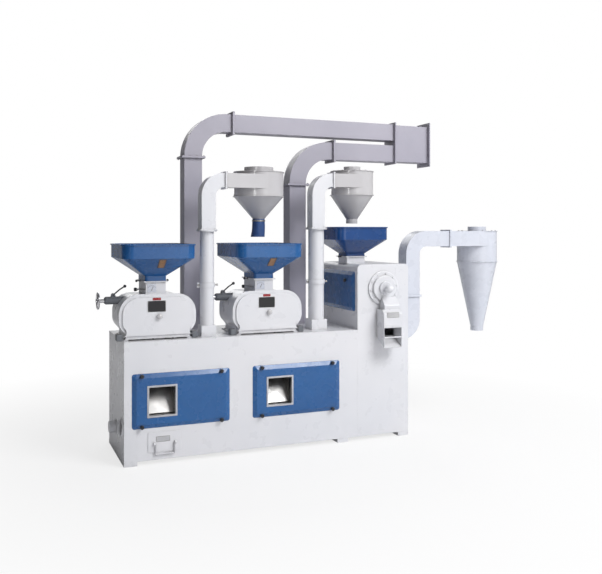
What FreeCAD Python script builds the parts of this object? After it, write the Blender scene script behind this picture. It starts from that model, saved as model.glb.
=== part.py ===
"""Combined rice huller line: two rubber-roll hulling heads, a whitener and their cyclones.

Frame: origin on the floor at the centre of the anchor holes, +X to the whitener end,
+Y to the back, +Z up. All lengths are in millimetres.
"""
import FreeCAD, Part
import math
import operator
import os
from types import SimpleNamespace

import Sketcher

V = FreeCAD.Vector
doc = FreeCAD.newDocument("rice_huller_line")

# Driving sizes
SIZES = {
    # row of cabinets; places along the row start at the left wall, places in depth at the front
    "row_length": 2215, "row_depth": 680, "low_length": 1769, "sheet": 3, "panel_bend": 12, "flange_return": 25,
    "deck_height": 850, "deck_thickness": 6, "tall_height": 1350, "tall_corner": 35,
    "skid_height": 30, "skid_width": 90, "middle_skid": 1645, "anchor_row": 480,
    "anchor_hole": 7, "rail_width": 50, "rail_height": 50, "rail_wall": 6, "motor_rail_depth": 500,
    # lift-off covers
    "cover_length": 695, "cover_height": 378, "cover_bottom": 251, "cover_start": 52,
    "cover_pitch": 868, "cover_depth": 16, "cover_bevel": 30, "cover_corner": 18,
    "cover_lap": 45, "knob_inset": 66, "knob_edge": 15, "knob_radius": 14, "knob_height": 18,
    "knob_seat": 12, "stud_radius": 4, "stud_length": 14, "hole_clearance": 0.4,
    "window_start": 112, "window_width": 190, "window_low": 336, "window_height": 200,
    "window_wall": 3, "window_lip": 10, "window_throat": 34, "window_proud": 3,
    "side_cover_start": 40, "side_cover_width": 600, "side_cover_bottom": 985,
    "side_cover_height": 310, "side_knob_in": 175, "side_knob_height": 1221,
    # clean-out drawer
    "drawer_start": 170, "drawer_width": 216, "drawer_bottom": 92, "drawer_top": 212,
    "drawer_length": 330, "drawer_front": 3, "drawer_lap": 8, "drawer_wall": 2,
    "bail_width": 150, "bail_drop": 72, "bail_height": 142, "bail_rod": 4.5, "ear_width": 9,
    "ear_reach": 20, "runner_width": 20,
    # openings in the left wall
    "inlet_in": 90, "inlet_height": 253, "inlet_radius": 58, "port_rim": 10, "port_proud": 10,
    "spigot_in": 350, "spigot_height": 200, "spigot_radius": 43, "spigot_length": 50,
    # hulling heads
    "head_start": 245, "head_pitch": 813, "head_front": 60, "head_depth": 390, "head_top": 1155,
    "head_half": 256, "head_shoulder": 125, "head_waist": 200, "waist_height": 885,
    "belly_height": 950, "belly_round": 90, "waist_round": 30, "foot_half": 216, "head_wall": 8,
    "head_flange": 14, "head_flange_depth": 10, "foot_flange": 22, "foot_flange_height": 8,
    "bulkhead": 315, "bulkhead_wall": 12, "head_cover_wall": 4, "head_cover_dish": 14,
    "head_cover_rim": 24, "outlet_front": 22, "outlet_half": 150, "outlet_depth": 230,
    # rolls and the swinging arm of the slow roll
    "roll_radius": 111, "roll_gap": 0.6, "roll_axis": 1010, "roll_width": 200, "roll_front": 28,
    "rubber": 20, "drum_wall": 9, "web_depth": 24, "hub_radius": 32, "shaft_radius": 17.5,
    "running_fit": 0.05, "bearing_radius": 46, "bearing_length": 60, "roll_clearance": 10,
    "arm_width": 34, "arm_pivot_in": 128, "arm_pivot_height": 884, "arm_pivot_radius": 26,
    "pivot_pin": 12, "arm_eye_in": 172, "arm_eye_radius": 20, "arm_eye_bore": 13,
    "head_pulley": 75, "pulley_width": 34, "pulley_start": 336, "groove": 7,
    # roll-gap adjuster
    "spindle_height": 1112, "spindle_depth": 300, "spindle_radius": 9, "spindle_end": 150,
    "boss_radius": 28, "boss_length": 84, "boss_out": 336, "handwheel_out": 378,
    "handwheel_radius": 62.5, "handwheel_rim": 7, "spoke_radius": 4.5, "wheel_hub": 15,
    "wheel_hub_length": 30, "lever_pivot": 272, "lever_pivot_height": 1150, "lever_rod": 5,
    "lever_first": 58, "lever_first_angle": 40, "lever_second": 45, "lever_second_angle": 32,
    "lever_ball": 11, "lever_boss": 13, "lever_ear": 8, "lever_boss_width": 16,
    # feed necks and hoppers
    "neck_half_width": 71, "neck_front": 140, "neck_depth": 260, "neck_wall": 4,
    "neck_flange": 14, "neck_flange_height": 8, "neck_top": 1253, "gate_height": 1186,
    "gate_plate": 4, "gate_gap": 0.3, "gate_tail": 26, "gate_knob_radius": 12,
    "gate_knob_length": 24,
    "hopper_half_width": 255, "hopper_depth": 600, "hopper_rim": 1416, "hopper_top": 1515,
    "hopper_corner": 70, "hopper_spout": 1288, "hopper_wall": 3, "spout_corner": 16,
    "spout_margin": 4, "hopper_lip": 7, "hopper_lip_height": 9,
    # whitener
    "whitener_centre": 1990, "whitener_axis": 1165, "barrel_radius": 82, "barrel_wall": 8,
    "barrel_length": 330, "barrel_end": 26, "screen_slots": 10, "slot_width": 8,
    "roller_radius": 58, "roller_rib": 7, "roller_length": 240, "end_flange_radius": 130,
    "end_flange_depth": 14, "end_ring_radius": 98, "end_ring_depth": 34, "end_hub_radius": 52,
    "end_hub_depth": 54, "end_bolts": 10, "end_bolt_ring": 114, "end_bolt": 7, "end_bolt_head": 6,
    "ball_knob": 34, "ball_knob_stem": 12, "ball_knob_reach": 26,
    "outlet_start": 1935, "outlet_width": 154, "outlet_reach": 120, "outlet_top": 1005,
    "outlet_low": 876, "mouth_low": 712, "outlet_wall": 3, "arm_start": 1958, "arm_top": 1096,
    "arm_reach": 86, "mouth_bar": 5,
    "whitener_hopper_centre": 1865, "whitener_hopper_depth_centre": 300,
    "whitener_hopper_half": 228, "whitener_hopper_rim": 1540, "whitener_hopper_top": 1640,
    "whitener_neck_half": 78, "whitener_neck_top": 1408, "whitener_spout": 1428,
    # pneumatic lifts and cyclones
    "lift_1": 614, "lift_1_depth": 126, "lift_1_radius": 51, "lift_2": 1501,
    "lift_2_depth": 181, "lift_2_radius": 61, "lift_wall": 3, "lift_foot": 49,
    "lift_foot_height": 78, "lift_joint_1": 1611, "lift_joint_2": 1627, "joint_flange": 22,
    "joint_thickness": 8, "goose_width": 105, "goose_inner": 62, "goose_height": 120,
    "goose_top_1": 2044, "goose_top_2": 2070, "lift_clamp": 1200, "clamp_height": 34,
    "clamp_wall": 6, "cyclone_wall": 3,
    "cyclone_1": 1058, "cyclone_1_depth": 264, "cyclone_1_radius": 190, "cyclone_1_base": 1869,
    "cyclone_1_top": 2056, "cyclone_1_outlet": 1665, "cyclone_1_mouth": 46, "cyclone_1_stub": 112,
    "cyclone_2": 1868, "cyclone_2_depth": 301, "cyclone_2_radius": 172, "cyclone_2_base": 1896,
    "cyclone_2_top": 2089, "cyclone_2_outlet": 1669, "cyclone_2_mouth": 46, "cyclone_2_stub": 69,
    "cyclone_3": 3046, "cyclone_3_depth": 255, "cyclone_3_radius": 168, "cyclone_3_base": 1347,
    "cyclone_3_top": 1610, "cyclone_3_outlet": 755, "cyclone_3_mouth": 54, "cyclone_3_stub": 77,
    "stub_height": 36, "stub_drop": 120, "outlet_collar": 36, "sleeve_top": 1700,
    "sleeve_bottom": 1563, "sleeve_wall": 4, "sleeve_bottom_radius": 54,
    # suction ducts and collector
    "duct_front": 535, "duct_depth": 140, "duct_wall": 3, "duct_1": 548, "duct_1_width": 140,
    "duct_1_joint": 2189, "duct_1_bend": 200, "duct_1_elbow_end": 939, "duct_2": 1421,
    "duct_2_width": 143, "duct_2_joint": 1997, "duct_2_bend": 207, "duct_2_elbow_end": 1816,
    "duct_end": 2388, "collector_end": 2733, "collector_low": 2186, "collector_top": 2545,
    "collector_flange": 28, "end_flange": 34, "end_plate_hole": 6,
    "duct_foot": 20,
    # bran duct
    "bran_width": 125, "bran_depth_centre": 150, "bran_low": 740, "bran_bend": 35,
    "bran_joint": 1086, "bran_top": 1608, "bran_top_bend": 60, "bran_flange_at": 2666,
    # drive inside the cabinets
    "motor_axis": 212, "motor_radius": 112, "motor_front": 470, "motor_length": 190,
    "motor_foot_half": 106, "motor_foot": 12, "motor_foot_start": 45, "motor_pulley": 55, "motor_shaft": 14,
    "motor_fins": 16, "fin_height": 9, "fin_width": 5, "terminal_box": 70,
    "belt_thickness": 9, "belt_gap": 0.3,
    # grain chutes under the heads
    "chute_wall": 3, "chute_half": 88, "chute_sill": 344, "chute_rise": 470, "chute_cheek": 110,
}


class Size:
    """A number together with the sheet expression that gives it."""

    def __init__(self, value, text):
        self.value = float(value)
        self.text = text

    def __add__(self, other):
        return joined(self, "+", other, operator.add)

    def __radd__(self, other):
        return joined(other, "+", self, operator.add)

    def __sub__(self, other):
        return joined(self, "-", other, operator.sub)

    def __rsub__(self, other):
        return joined(other, "-", self, operator.sub)

    def __mul__(self, other):
        return joined(self, "*", other, operator.mul)

    def __rmul__(self, other):
        return joined(other, "*", self, operator.mul)

    def __truediv__(self, other):
        return joined(self, "/", other, operator.truediv)

    def __rtruediv__(self, other):
        return joined(other, "/", self, operator.truediv)

    def __neg__(self):
        return joined(0, "-", self, operator.sub)


def sized(number):
    """A plain number as a Size."""
    if isinstance(number, Size):
        return number
    return Size(number, f"({float(number)})")


def joined(first, sign, second, action):
    """Two sizes combined, in value and in expression."""
    first = sized(first)
    second = sized(second)
    return Size(action(first.value, second.value), f"({first.text} {sign} {second.text})")


def cosine(angle):
    """Cosine of an angle in degrees."""
    angle = sized(angle)
    return Size(math.cos(math.radians(angle.value)), f"cos({angle.text})")


def sine(angle):
    """Sine of an angle in degrees."""
    angle = sized(angle)
    return Size(math.sin(math.radians(angle.value)), f"sin({angle.text})")


sheet = doc.addObject("Spreadsheet::Sheet", "Sizes")
for row, (alias, number) in enumerate(SIZES.items(), start=1):
    sheet.set(f"A{row}", alias)
    sheet.set(f"B{row}", str(number))
    sheet.setAlias(f"B{row}", alias)
doc.recompute()
S = SimpleNamespace(**{alias: Size(number, "Sizes." + alias) for alias, number in SIZES.items()})

# Planes of the row
LEFT = -S.row_length / 2
RIGHT = S.row_length / 2
FRONT = -S.row_depth / 2
BACK = S.row_depth / 2
STEP = LEFT + S.low_length
DECK = S.deck_height
UNDER_DECK = S.deck_height - S.deck_thickness
OVER = 1
TURNS = {
    "X": FreeCAD.Rotation(V(0, 1, 0), 90),
    "Y": FreeCAD.Rotation(V(1, 0, 0), -90),
    "Z": FreeCAD.Rotation(),
}
PLANES = {"X": "YZ_Plane", "Y": "XZ_Plane", "Z": "XY_Plane"}
nodes = {}


def node(name, item):
    """Register a finished piece under its node name."""
    item.Label = name
    nodes[name] = item
    return item


def bind(item, name, size):
    """Set a property and tie it to the sheet."""
    size = sized(size)
    setattr(item, name, size.value)
    item.setExpression(name, size.text)


def put(item, spot, turn=None):
    """Place an object, its base tied to the sheet."""
    spot = [sized(number) for number in spot]
    base = V(*[number.value for number in spot])
    item.Placement = FreeCAD.Placement(base, turn or FreeCAD.Rotation())
    for letter, number in zip("xyz", spot):
        item.setExpression("Placement.Base." + letter, number.text)
    return item


def spot_on(axis, along, centre):
    """A point from its place along an axis and its two other coordinates in X, Y, Z order."""
    first, second = centre
    if axis == "X":
        return (along, first, second)
    if axis == "Y":
        return (first, along, second)
    return (first, second, along)


def block(xs, ys, zs):
    """A box between pairs of planes."""
    item = doc.addObject("Part::Box", "block")
    for side, (low, high) in zip(("Length", "Width", "Height"), (xs, ys, zs)):
        bind(item, side, sized(high) - low)
    return put(item, (xs[0], ys[0], zs[0]))


def rod(axis, along, centre, radius):
    """A cylinder along an axis."""
    item = doc.addObject("Part::Cylinder", "rod")
    bind(item, "Radius", radius)
    bind(item, "Height", sized(along[1]) - along[0])
    return put(item, spot_on(axis, along[0], centre), TURNS[axis])


def ball(centre, radius):
    """A full sphere."""
    item = doc.addObject("Part::Sphere", "ball")
    bind(item, "Radius", radius)
    return put(item, centre)


def fuse(*pieces):
    """One solid from touching pieces."""
    item = doc.addObject("Part::MultiFuse", "joined")
    item.Shapes = list(pieces)
    item.Refine = True
    return item


def cut(base, *tools):
    """A piece with the tools taken out of it."""
    item = doc.addObject("Part::Cut", "cut")
    item.Base = base
    item.Tool = tools[0] if len(tools) == 1 else fuse(*tools)
    item.Refine = True
    return item


def group(*pieces):
    """Separate solids kept in one node."""
    item = doc.addObject("Part::Compound", "set")
    item.Links = list(pieces)
    return item


def unit(start, end):
    """Unit vector in the plane from one point to another."""
    gap = math.hypot(end[0] - start[0], end[1] - start[1])
    return ((end[0] - start[0]) / gap, (end[1] - start[1]) / gap)


def draw(sketch, corners):
    """A closed outline through corners given as (across, up) or (across, up, radius)."""
    count = len(corners)
    points = [(sized(c[0]).value, sized(c[1]).value) for c in corners]
    rounds = [sized(c[2]) if len(c) > 2 else None for c in corners]
    arrive, leave, arcs = list(points), list(points), {}
    for i, radius in enumerate(rounds):
        if radius is None:
            continue
        here = points[i]
        back, ahead = unit(here, points[i - 1]), unit(here, points[(i + 1) % count])
        half = math.acos(back[0] * ahead[0] + back[1] * ahead[1]) / 2
        reach = radius.value / math.tan(half)
        arrive[i] = (here[0] + back[0] * reach, here[1] + back[1] * reach)
        leave[i] = (here[0] + ahead[0] * reach, here[1] + ahead[1] * reach)
        middle = ((back[0] + ahead[0]) / 2, (back[1] + ahead[1]) / 2)
        size = math.hypot(*middle) or 1
        depth = radius.value / math.sin(half)
        centre = (here[0] + middle[0] / size * depth, here[1] + middle[1] / size * depth)
        left_turn = ahead[0] * back[1] - ahead[1] * back[0] > 0
        arcs[i] = (centre, left_turn)
    first = sketch.GeometryCount
    for i in range(count):
        nxt = (i + 1) % count
        sketch.addGeometry(Part.LineSegment(V(*leave[i], 0), V(*arrive[nxt], 0)), False)
    for i in range(count):
        line_in, line_out = first + (i - 1) % count, first + i
        if rounds[i] is None:
            sketch.addConstraint(Sketcher.Constraint("Coincident", line_in, 2, line_out, 1))
            mark = line_out
        else:
            centre, left_turn = arcs[i]
            begin, finish = (arrive[i], leave[i]) if left_turn else (leave[i], arrive[i])
            angles = [math.atan2(p[1] - centre[1], p[0] - centre[0]) for p in (begin, finish)]
            circle = Part.Circle(V(*centre, 0), V(0, 0, 1), rounds[i].value)
            arc = sketch.addGeometry(Part.ArcOfCircle(circle, *angles), False)
            start_side, end_side = (1, 2) if left_turn else (2, 1)
            sketch.addConstraint(Sketcher.Constraint("Tangent", line_in, 2, arc, start_side))
            sketch.addConstraint(Sketcher.Constraint("Tangent", arc, end_side, line_out, 1))
            tie = sketch.addConstraint(Sketcher.Constraint("Radius", arc, rounds[i].value))
            sketch.setExpression(f"Constraints[{tie}]", rounds[i].text)
            mark = sketch.addGeometry(Part.Point(V(*points[i], 0)), True)
            sketch.addConstraint(Sketcher.Constraint("PointOnObject", mark, 1, line_in))
            sketch.addConstraint(Sketcher.Constraint("PointOnObject", mark, 1, line_out))
        for kind, number in zip(("DistanceX", "DistanceY"), corners[i][:2]):
            number = sized(number)
            rule = Sketcher.Constraint(kind, -1, 1, mark, 1, number.value)
            sketch.setExpression(f"Constraints[{sketch.addConstraint(rule)}]", number.text)


def draw_link(sketch, first, second):
    """The outline of a belt or link: two round ends (across, up, radius) joined by tangents."""
    ends = [[sized(number) for number in end] for end in (first, second)]
    (x1, y1, r1), (x2, y2, r2) = [[number.value for number in end] for end in ends]
    gap = math.hypot(x2 - x1, y2 - y1)
    heading = math.atan2(y2 - y1, x2 - x1)
    spread = math.acos((r1 - r2) / gap)
    low, high = heading - spread, heading + spread
    start = sketch.GeometryCount
    for x, y, r, a, b in ((x1, y1, r1, high, low + 2 * math.pi), (x2, y2, r2, low, high)):
        circle = Part.Circle(V(x, y, 0), V(0, 0, 1), r)
        sketch.addGeometry(Part.ArcOfCircle(circle, a, b), False)
    for angle, turn in ((low, 1), (high, -1)):
        near = V(x1 + r1 * math.cos(angle), y1 + r1 * math.sin(angle), 0)
        far = V(x2 + r2 * math.cos(angle), y2 + r2 * math.sin(angle), 0)
        ends_in_order = (near, far) if turn > 0 else (far, near)
        sketch.addGeometry(Part.LineSegment(*ends_in_order), False)
    one, two, lower, upper = range(start, start + 4)
    for a, side_a, b, side_b in ((one, 2, lower, 1), (lower, 2, two, 1),
                                 (two, 2, upper, 1), (upper, 2, one, 1)):
        sketch.addConstraint(Sketcher.Constraint("Tangent", a, side_a, b, side_b))
    for arc, (across, up, radius) in zip((one, two), ends):
        rules = (Sketcher.Constraint("DistanceX", -1, 1, arc, 3, across.value),
                 Sketcher.Constraint("DistanceY", -1, 1, arc, 3, up.value),
                 Sketcher.Constraint("Radius", arc, radius.value))
        for rule, number in zip(rules, (across, up, radius)):
            sketch.setExpression(f"Constraints[{sketch.addConstraint(rule)}]", number.text)


def new_sketch(body, axis, level):
    """A sketch square to an axis, at a level along it."""
    sketch = body.newObject("Sketcher::SketchObject", "outline")
    role = PLANES[axis]
    plane = next(item for item in body.Origin.OriginFeatures if item.Role == role)
    sketch.AttachmentSupport = [(plane, "")]
    sketch.MapMode = "FlatFace"
    lift = sized(level) * -1 if axis == "Y" else sized(level)
    sketch.AttachmentOffset = FreeCAD.Placement(V(0, 0, lift.value), FreeCAD.Rotation())
    sketch.setExpression("AttachmentOffset.Base.z", lift.text)
    return sketch


def prism(axis, along, *outlines, pen=draw):
    """Outlines carried straight along an axis; a second outline inside the first is a hole."""
    body = doc.addObject("PartDesign::Body", "prism")
    low, high = along
    sketch = new_sketch(body, axis, high if axis == "Y" else low)
    for outline in outlines:
        if pen is draw_link:
            pen(sketch, *outline)
        else:
            pen(sketch, outline)
    pad = body.newObject("PartDesign::Pad", "pad")
    pad.Profile = sketch
    bind(pad, "Length", sized(high) - low)
    sketch.Visibility = False
    return body


def turned(axis, centre, *profiles):
    """Profiles of (radius, along) turned about an axis through the centre."""
    body = doc.addObject("PartDesign::Body", "turned")
    sketch = new_sketch(body, "Y", 0)
    for profile in profiles:
        draw(sketch, profile)
    spin = body.newObject("PartDesign::Revolution", "spin")
    spin.Profile = sketch
    spin.ReferenceAxis = (sketch, ["V_Axis"])
    spin.Angle = 360
    return put(body, spot_on(axis, 0, centre), TURNS[axis])


def ring(axis, along, centre, outer, inner):
    """A plain tube along an axis."""
    low, high = along
    return turned(axis, centre, [(inner, low), (outer, low), (outer, high), (inner, high)])


def rectangle(xs, ys, radius=None):
    """Four corners, counter-clockwise, with an optional corner radius."""
    low, high = 0, 1
    places = ((xs[low], ys[low]), (xs[high], ys[low]), (xs[high], ys[high]), (xs[low], ys[high]))
    return [place if radius is None else (*place, radius) for place in places]


def loft(axis, *sections):
    """Straight walls between outlines given as (level, corners)."""
    body = doc.addObject("PartDesign::Body", "loft")
    sketches = []
    for level, corners in sections:
        sketch = new_sketch(body, axis, level)
        draw(sketch, corners)
        sketches.append(sketch)
    shape = body.newObject("PartDesign::AdditiveLoft", "walls")
    shape.Profile = sketches[0]
    shape.Sections = sketches[1:]
    shape.Ruled = True
    return body


def box_tube(axis, along, firsts, seconds, wall):
    """A rectangular tube along an axis between pairs of planes."""
    inner = [(sized(low) + wall, sized(high) - wall) for low, high in (firsts, seconds)]
    return prism(axis, along, rectangle(firsts, seconds), rectangle(*inner))


def elbow(centre_x, centre_z, radii, ys, wall, side):
    """A quarter bend of square duct about a line along Y, starting left (-1) or right (1)."""
    body = doc.addObject("PartDesign::Body", "elbow")
    sketch = new_sketch(body, "Z", 0)
    inner, outer = radii
    xs = (inner, outer) if side > 0 else (-outer, -inner)
    draw(sketch, rectangle(xs, ys))
    hollow = [(sized(low) + wall, sized(high) - wall) for low, high in (xs, ys)]
    draw(sketch, rectangle(*hollow))
    bend = body.newObject("PartDesign::Revolution", "bend")
    bend.Profile = sketch
    bend.ReferenceAxis = (sketch, ["V_Axis"])
    bend.Angle = 90
    return put(body, (centre_x, 0, centre_z))


def collar(axis, at, thickness, firsts, seconds, reach):
    """A pair of bolted square flanges round a duct, drawn as one ring."""
    outer = [(sized(low) - reach, sized(high) + reach) for low, high in (firsts, seconds)]
    along = (at - thickness, at + thickness)
    return prism(axis, along, rectangle(*outer), rectangle(firsts, seconds))


def middle(place, half):
    """A pair of planes at equal distance from a place."""
    return (sized(place) - half, sized(place) + half)


# Cabinet

def skid_places():
    """Starts of the cross skids, from the left."""
    return (LEFT, LEFT + S.middle_skid - S.skid_width / 2, RIGHT - S.skid_width)


def base_frame():
    """Three cross skids under long channel rails, welded into one piece."""
    skids = [block((x, x + S.skid_width), (FRONT, BACK), (0, S.skid_height))
             for x in skid_places()]
    top = S.skid_height + S.rail_height
    pieces = list(skids)
    inner_left, inner_right = LEFT + S.panel_bend, RIGHT - S.sheet
    motor_rail = FRONT + S.motor_rail_depth
    for y in (FRONT + S.sheet, motor_rail, BACK - S.sheet - S.rail_width):
        outline = [(y, S.skid_height), (y + S.rail_width, S.skid_height),
                   (y + S.rail_width, top), (y, top)]
        hollow = [(y + S.rail_wall, S.skid_height + S.rail_wall),
                  (y + S.rail_width - S.rail_wall, S.skid_height + S.rail_wall),
                  (y + S.rail_width - S.rail_wall, top - S.rail_wall),
                  (y + S.rail_wall, top - S.rail_wall)]
        pieces.append(prism("X", (inner_left, inner_right), outline, hollow))
    for side in drawer_sides():
        low = S.drawer_bottom - S.gate_gap - S.rail_wall
        runner = block((side - S.runner_width / 2, side + S.runner_width / 2),
                       (FRONT + S.sheet, motor_rail + S.rail_wall), (low, low + S.rail_wall))
        post_front = block((side - S.runner_width / 2, side + S.runner_width / 2),
                           (FRONT + S.sheet, FRONT + S.sheet + S.rail_wall), (top, low))
        post_back = block((side - S.runner_width / 2, side + S.runner_width / 2),
                          (motor_rail, motor_rail + S.rail_wall), (top, low))
        pieces += [runner, post_front, post_back]
    bores = [rod("Z", (-OVER, S.skid_height + OVER), (x + S.skid_width / 2, y), S.anchor_hole)
             for x in (skid_places()[0], skid_places()[2])
             for y in (-S.anchor_row / 2, S.anchor_row / 2)]
    return node("base_frame", cut(fuse(*pieces), *bores))


def drawer_sides():
    """Places in X of the two drawer runners."""
    start = LEFT + S.drawer_start
    return (start + S.runner_width, start + S.drawer_width - S.runner_width)


def cover_start(number):
    """Left edge of an access cover."""
    return LEFT + S.cover_start + (number - 1) * S.cover_pitch


def knob_spots(number):
    """Centres of the four knobs of an access cover, in X and Z."""
    left = cover_start(number)
    right = left + S.cover_length
    low = S.cover_bottom + S.knob_edge
    high = S.cover_bottom + S.cover_height - S.knob_edge
    return [(x, z) for x in (left + S.knob_inset, right - S.knob_inset) for z in (low, high)]


def front_panel():
    """Front sheet of the low cabinet with its two returns and its three openings."""
    ys = (FRONT, FRONT + S.sheet)
    panel = block((LEFT, STEP), ys, (S.skid_height, UNDER_DECK))
    back = FRONT + S.sheet + S.flange_return
    inner = (LEFT + S.sheet + S.flange_return, STEP - S.flange_return)
    upper = block(inner, (ys[1], back), (UNDER_DECK - S.sheet, UNDER_DECK))
    holes = []
    for number in (1, 2):
        left = cover_start(number)
        holes.append(block((left + S.cover_lap, left + S.cover_length - S.cover_lap),
                           (FRONT - OVER, ys[1] + OVER),
                           (S.cover_bottom + S.cover_lap,
                            S.cover_bottom + S.cover_height - S.cover_lap)))
        holes += [rod("Y", (FRONT - OVER, ys[1] + OVER), spot, S.stud_radius + S.hole_clearance)
                  for spot in knob_spots(number)]
    start = LEFT + S.drawer_start
    holes.append(block((start - S.hole_clearance, start + S.drawer_width + S.hole_clearance),
                       (FRONT - OVER, ys[1] + OVER),
                       (S.drawer_bottom - S.hole_clearance, S.drawer_top + S.hole_clearance)))
    return node("front_panel", cut(fuse(panel, upper), *holes))


def side_and_rear_panel():
    """One bent sheet round the left end and the back of the low cabinet."""
    bend = S.panel_bend
    outline = [(LEFT, FRONT + S.sheet), (LEFT + S.sheet, FRONT + S.sheet),
               (LEFT + S.sheet, BACK - S.sheet, bend - S.sheet),
               (STEP, BACK - S.sheet), (STEP, BACK), (LEFT, BACK, bend)]
    wall = prism("Z", (S.skid_height, UNDER_DECK), outline)
    across = (LEFT - OVER, LEFT + S.sheet + OVER)
    holes = [rod("X", across, (FRONT + S.inlet_in, S.inlet_height), S.inlet_radius),
             rod("X", across, (FRONT + S.spigot_in, S.spigot_height),
                 S.spigot_radius - S.sheet)]
    return node("side_and_rear_panel", cut(wall, *holes))


def head_centre(number):
    """Centre of a hulling head along the row."""
    return LEFT + S.head_start + (number - 1) * S.head_pitch


def lift_centre(number):
    """Axis of a lift pipe in X and Y."""
    if number == 1:
        return (LEFT + S.lift_1, FRONT + S.lift_1_depth)
    return (LEFT + S.lift_2, FRONT + S.lift_2_depth)


def duct_span(number):
    """The two side planes of a suction duct."""
    if number == 1:
        return (LEFT + S.duct_1, LEFT + S.duct_1 + S.duct_1_width)
    return (LEFT + S.duct_2, LEFT + S.duct_2 + S.duct_2_width)


DUCT_YS = (FRONT + S.duct_front, FRONT + S.duct_front + S.duct_depth)


def belt_span():
    """Front and back of the pulleys and belts."""
    return (FRONT + S.head_front + S.pulley_start,
            FRONT + S.head_front + S.pulley_start + S.pulley_width)


def deck_plate():
    """Deck of the low cabinet, open under the heads, the lift pipes and the suction ducts."""
    plate = prism("Z", (UNDER_DECK, DECK),
                  rectangle((LEFT, STEP), (FRONT, BACK), S.sheet * 2))
    through = (UNDER_DECK - OVER, DECK + OVER)
    holes = []
    for number in (1, 2):
        x = head_centre(number)
        front = FRONT + S.head_front + S.outlet_front
        holes.append(block(middle(x, S.outlet_half), (front, front + S.outlet_depth), through))
        holes.append(block(middle(x + S.roll_radius, S.head_pulley + S.belt_thickness * 3),
                           (belt_span()[0] - S.groove, belt_span()[1] + S.groove), through))
        holes.append(rod("Z", through, lift_centre(number), S.lift_foot - S.lift_wall * 2))
        inner = [(low + S.duct_wall, high - S.duct_wall)
                 for low, high in (duct_span(number), DUCT_YS)]
        holes.append(block(*inner, through))
    return node("deck_plate", cut(plate, *holes))


def tall_outline(margin, bottom):
    """Front outline of the whitener cabinet, drawn in by a margin."""
    low, high = STEP + margin, RIGHT - margin
    top = S.tall_height - margin
    corner = S.tall_corner - margin
    return [(low, bottom), (high, bottom), (high, top, corner), (low, top, corner)]


def whitener_cabinet():
    """Welded tall cabinet with rounded shoulders, open at the floor."""
    outer = prism("Y", (FRONT, BACK), tall_outline(sized(0), S.skid_height))
    hollow = prism("Y", (FRONT + S.sheet, BACK - S.sheet),
                   tall_outline(S.sheet, S.skid_height - OVER))
    centre = (LEFT + S.whitener_centre, S.whitener_axis)
    mouth = rod("Y", (FRONT - OVER, FRONT + S.sheet + OVER), centre, S.barrel_radius)
    x = LEFT + S.outlet_start
    chute = block((x + S.outlet_wall, x + S.outlet_width - S.outlet_wall),
                  (FRONT - OVER, FRONT + S.sheet + OVER),
                  (S.mouth_low + S.outlet_width / 2, S.outlet_low))
    neck_x = LEFT + S.whitener_hopper_centre
    neck_y = FRONT + S.whitener_hopper_depth_centre
    inside = S.whitener_neck_half - S.neck_wall
    neck = block(middle(neck_x, inside), middle(neck_y, inside),
                 (S.tall_height - S.sheet - OVER, S.tall_height + OVER))
    side = block((STEP - OVER, STEP + S.sheet + OVER),
                 (FRONT + S.side_cover_start + S.cover_lap,
                  FRONT + S.side_cover_start + S.side_cover_width - S.cover_lap),
                 (S.side_cover_bottom + S.cover_lap,
                  S.side_cover_bottom + S.side_cover_height - S.cover_lap))
    stud = rod("X", (STEP - OVER, STEP + S.sheet + OVER),
               (FRONT + S.side_knob_in, S.side_knob_height), S.stud_radius + S.hole_clearance)
    half = S.bran_width / 2 - S.duct_wall
    bran = block((RIGHT - S.sheet - OVER, RIGHT + OVER),
                 middle(FRONT + S.bran_depth_centre, half),
                 (S.bran_low + S.duct_wall, S.bran_low + S.bran_width - S.duct_wall))
    sill = block((STEP - OVER, STEP + S.sheet + OVER), (FRONT + S.sheet, BACK - S.sheet),
                 (S.skid_height - OVER, S.skid_height + S.rail_height))
    return node("whitener_cabinet",
                cut(outer, hollow, mouth, chute, neck, side, stud, bran, sill))


# Lift-off covers

def pan(length, height, depth, bevel, corner, wall):
    """A bevelled pressed-sheet pan, open behind, lying on its own XY plane."""
    outer = loft("Z", (0, rectangle((0, length), (0, height), corner)),
                 (depth, rectangle((bevel, length - bevel), (bevel, height - bevel), corner / 2)))
    inner = loft("Z", (-OVER, rectangle((wall, length - wall), (wall, height - wall),
                                        corner - wall)),
                 (depth - wall, rectangle((bevel + wall, length - bevel - wall),
                                          (bevel + wall, height - bevel - wall),
                                          corner / 2 - wall)))
    return cut(outer, inner)


def access_cover(number):
    """Blue front cover: a pan with four knob seats and an open square window."""
    start = cover_start(number)
    shell = put(pan(S.cover_length, S.cover_height, S.cover_depth, S.cover_bevel,
                    S.cover_corner, S.sheet),
                (start, FRONT, S.cover_bottom), FreeCAD.Rotation(V(1, 0, 0), 90))
    face = FRONT - S.cover_depth
    seats = [rod("Y", (face, FRONT), spot, S.knob_seat) for spot in knob_spots(number)]
    bores = [rod("Y", (face - OVER, FRONT + OVER), spot, S.stud_radius + S.hole_clearance)
             for spot in knob_spots(number)]
    left = start + S.window_start
    window = block((left, left + S.window_width), (face - OVER, FRONT + OVER),
                   (S.window_low, S.window_low + S.window_height))
    return node(f"access_cover_{number}", cut(fuse(shell, *seats), window, *bores))


def cover_knob(axis, face, centre, way):
    """A mushroom hand knob with its stud; way is the sense in which it stands out."""
    tip = face + way * S.knob_height
    grip = [(0, face), (S.knob_radius - 5, face), (S.knob_radius - 5, face + way * 5),
            (S.knob_radius, face + way * 7, 1.5), (S.knob_radius, tip, 4), (0, tip)]
    root = face - way * (S.cover_depth + S.stud_length)
    stud = rod(axis, (root, face) if way > 0 else (face, root), centre, S.stud_radius)
    return fuse(turned(axis, centre, grip if way > 0 else grip[::-1]), stud)


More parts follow.
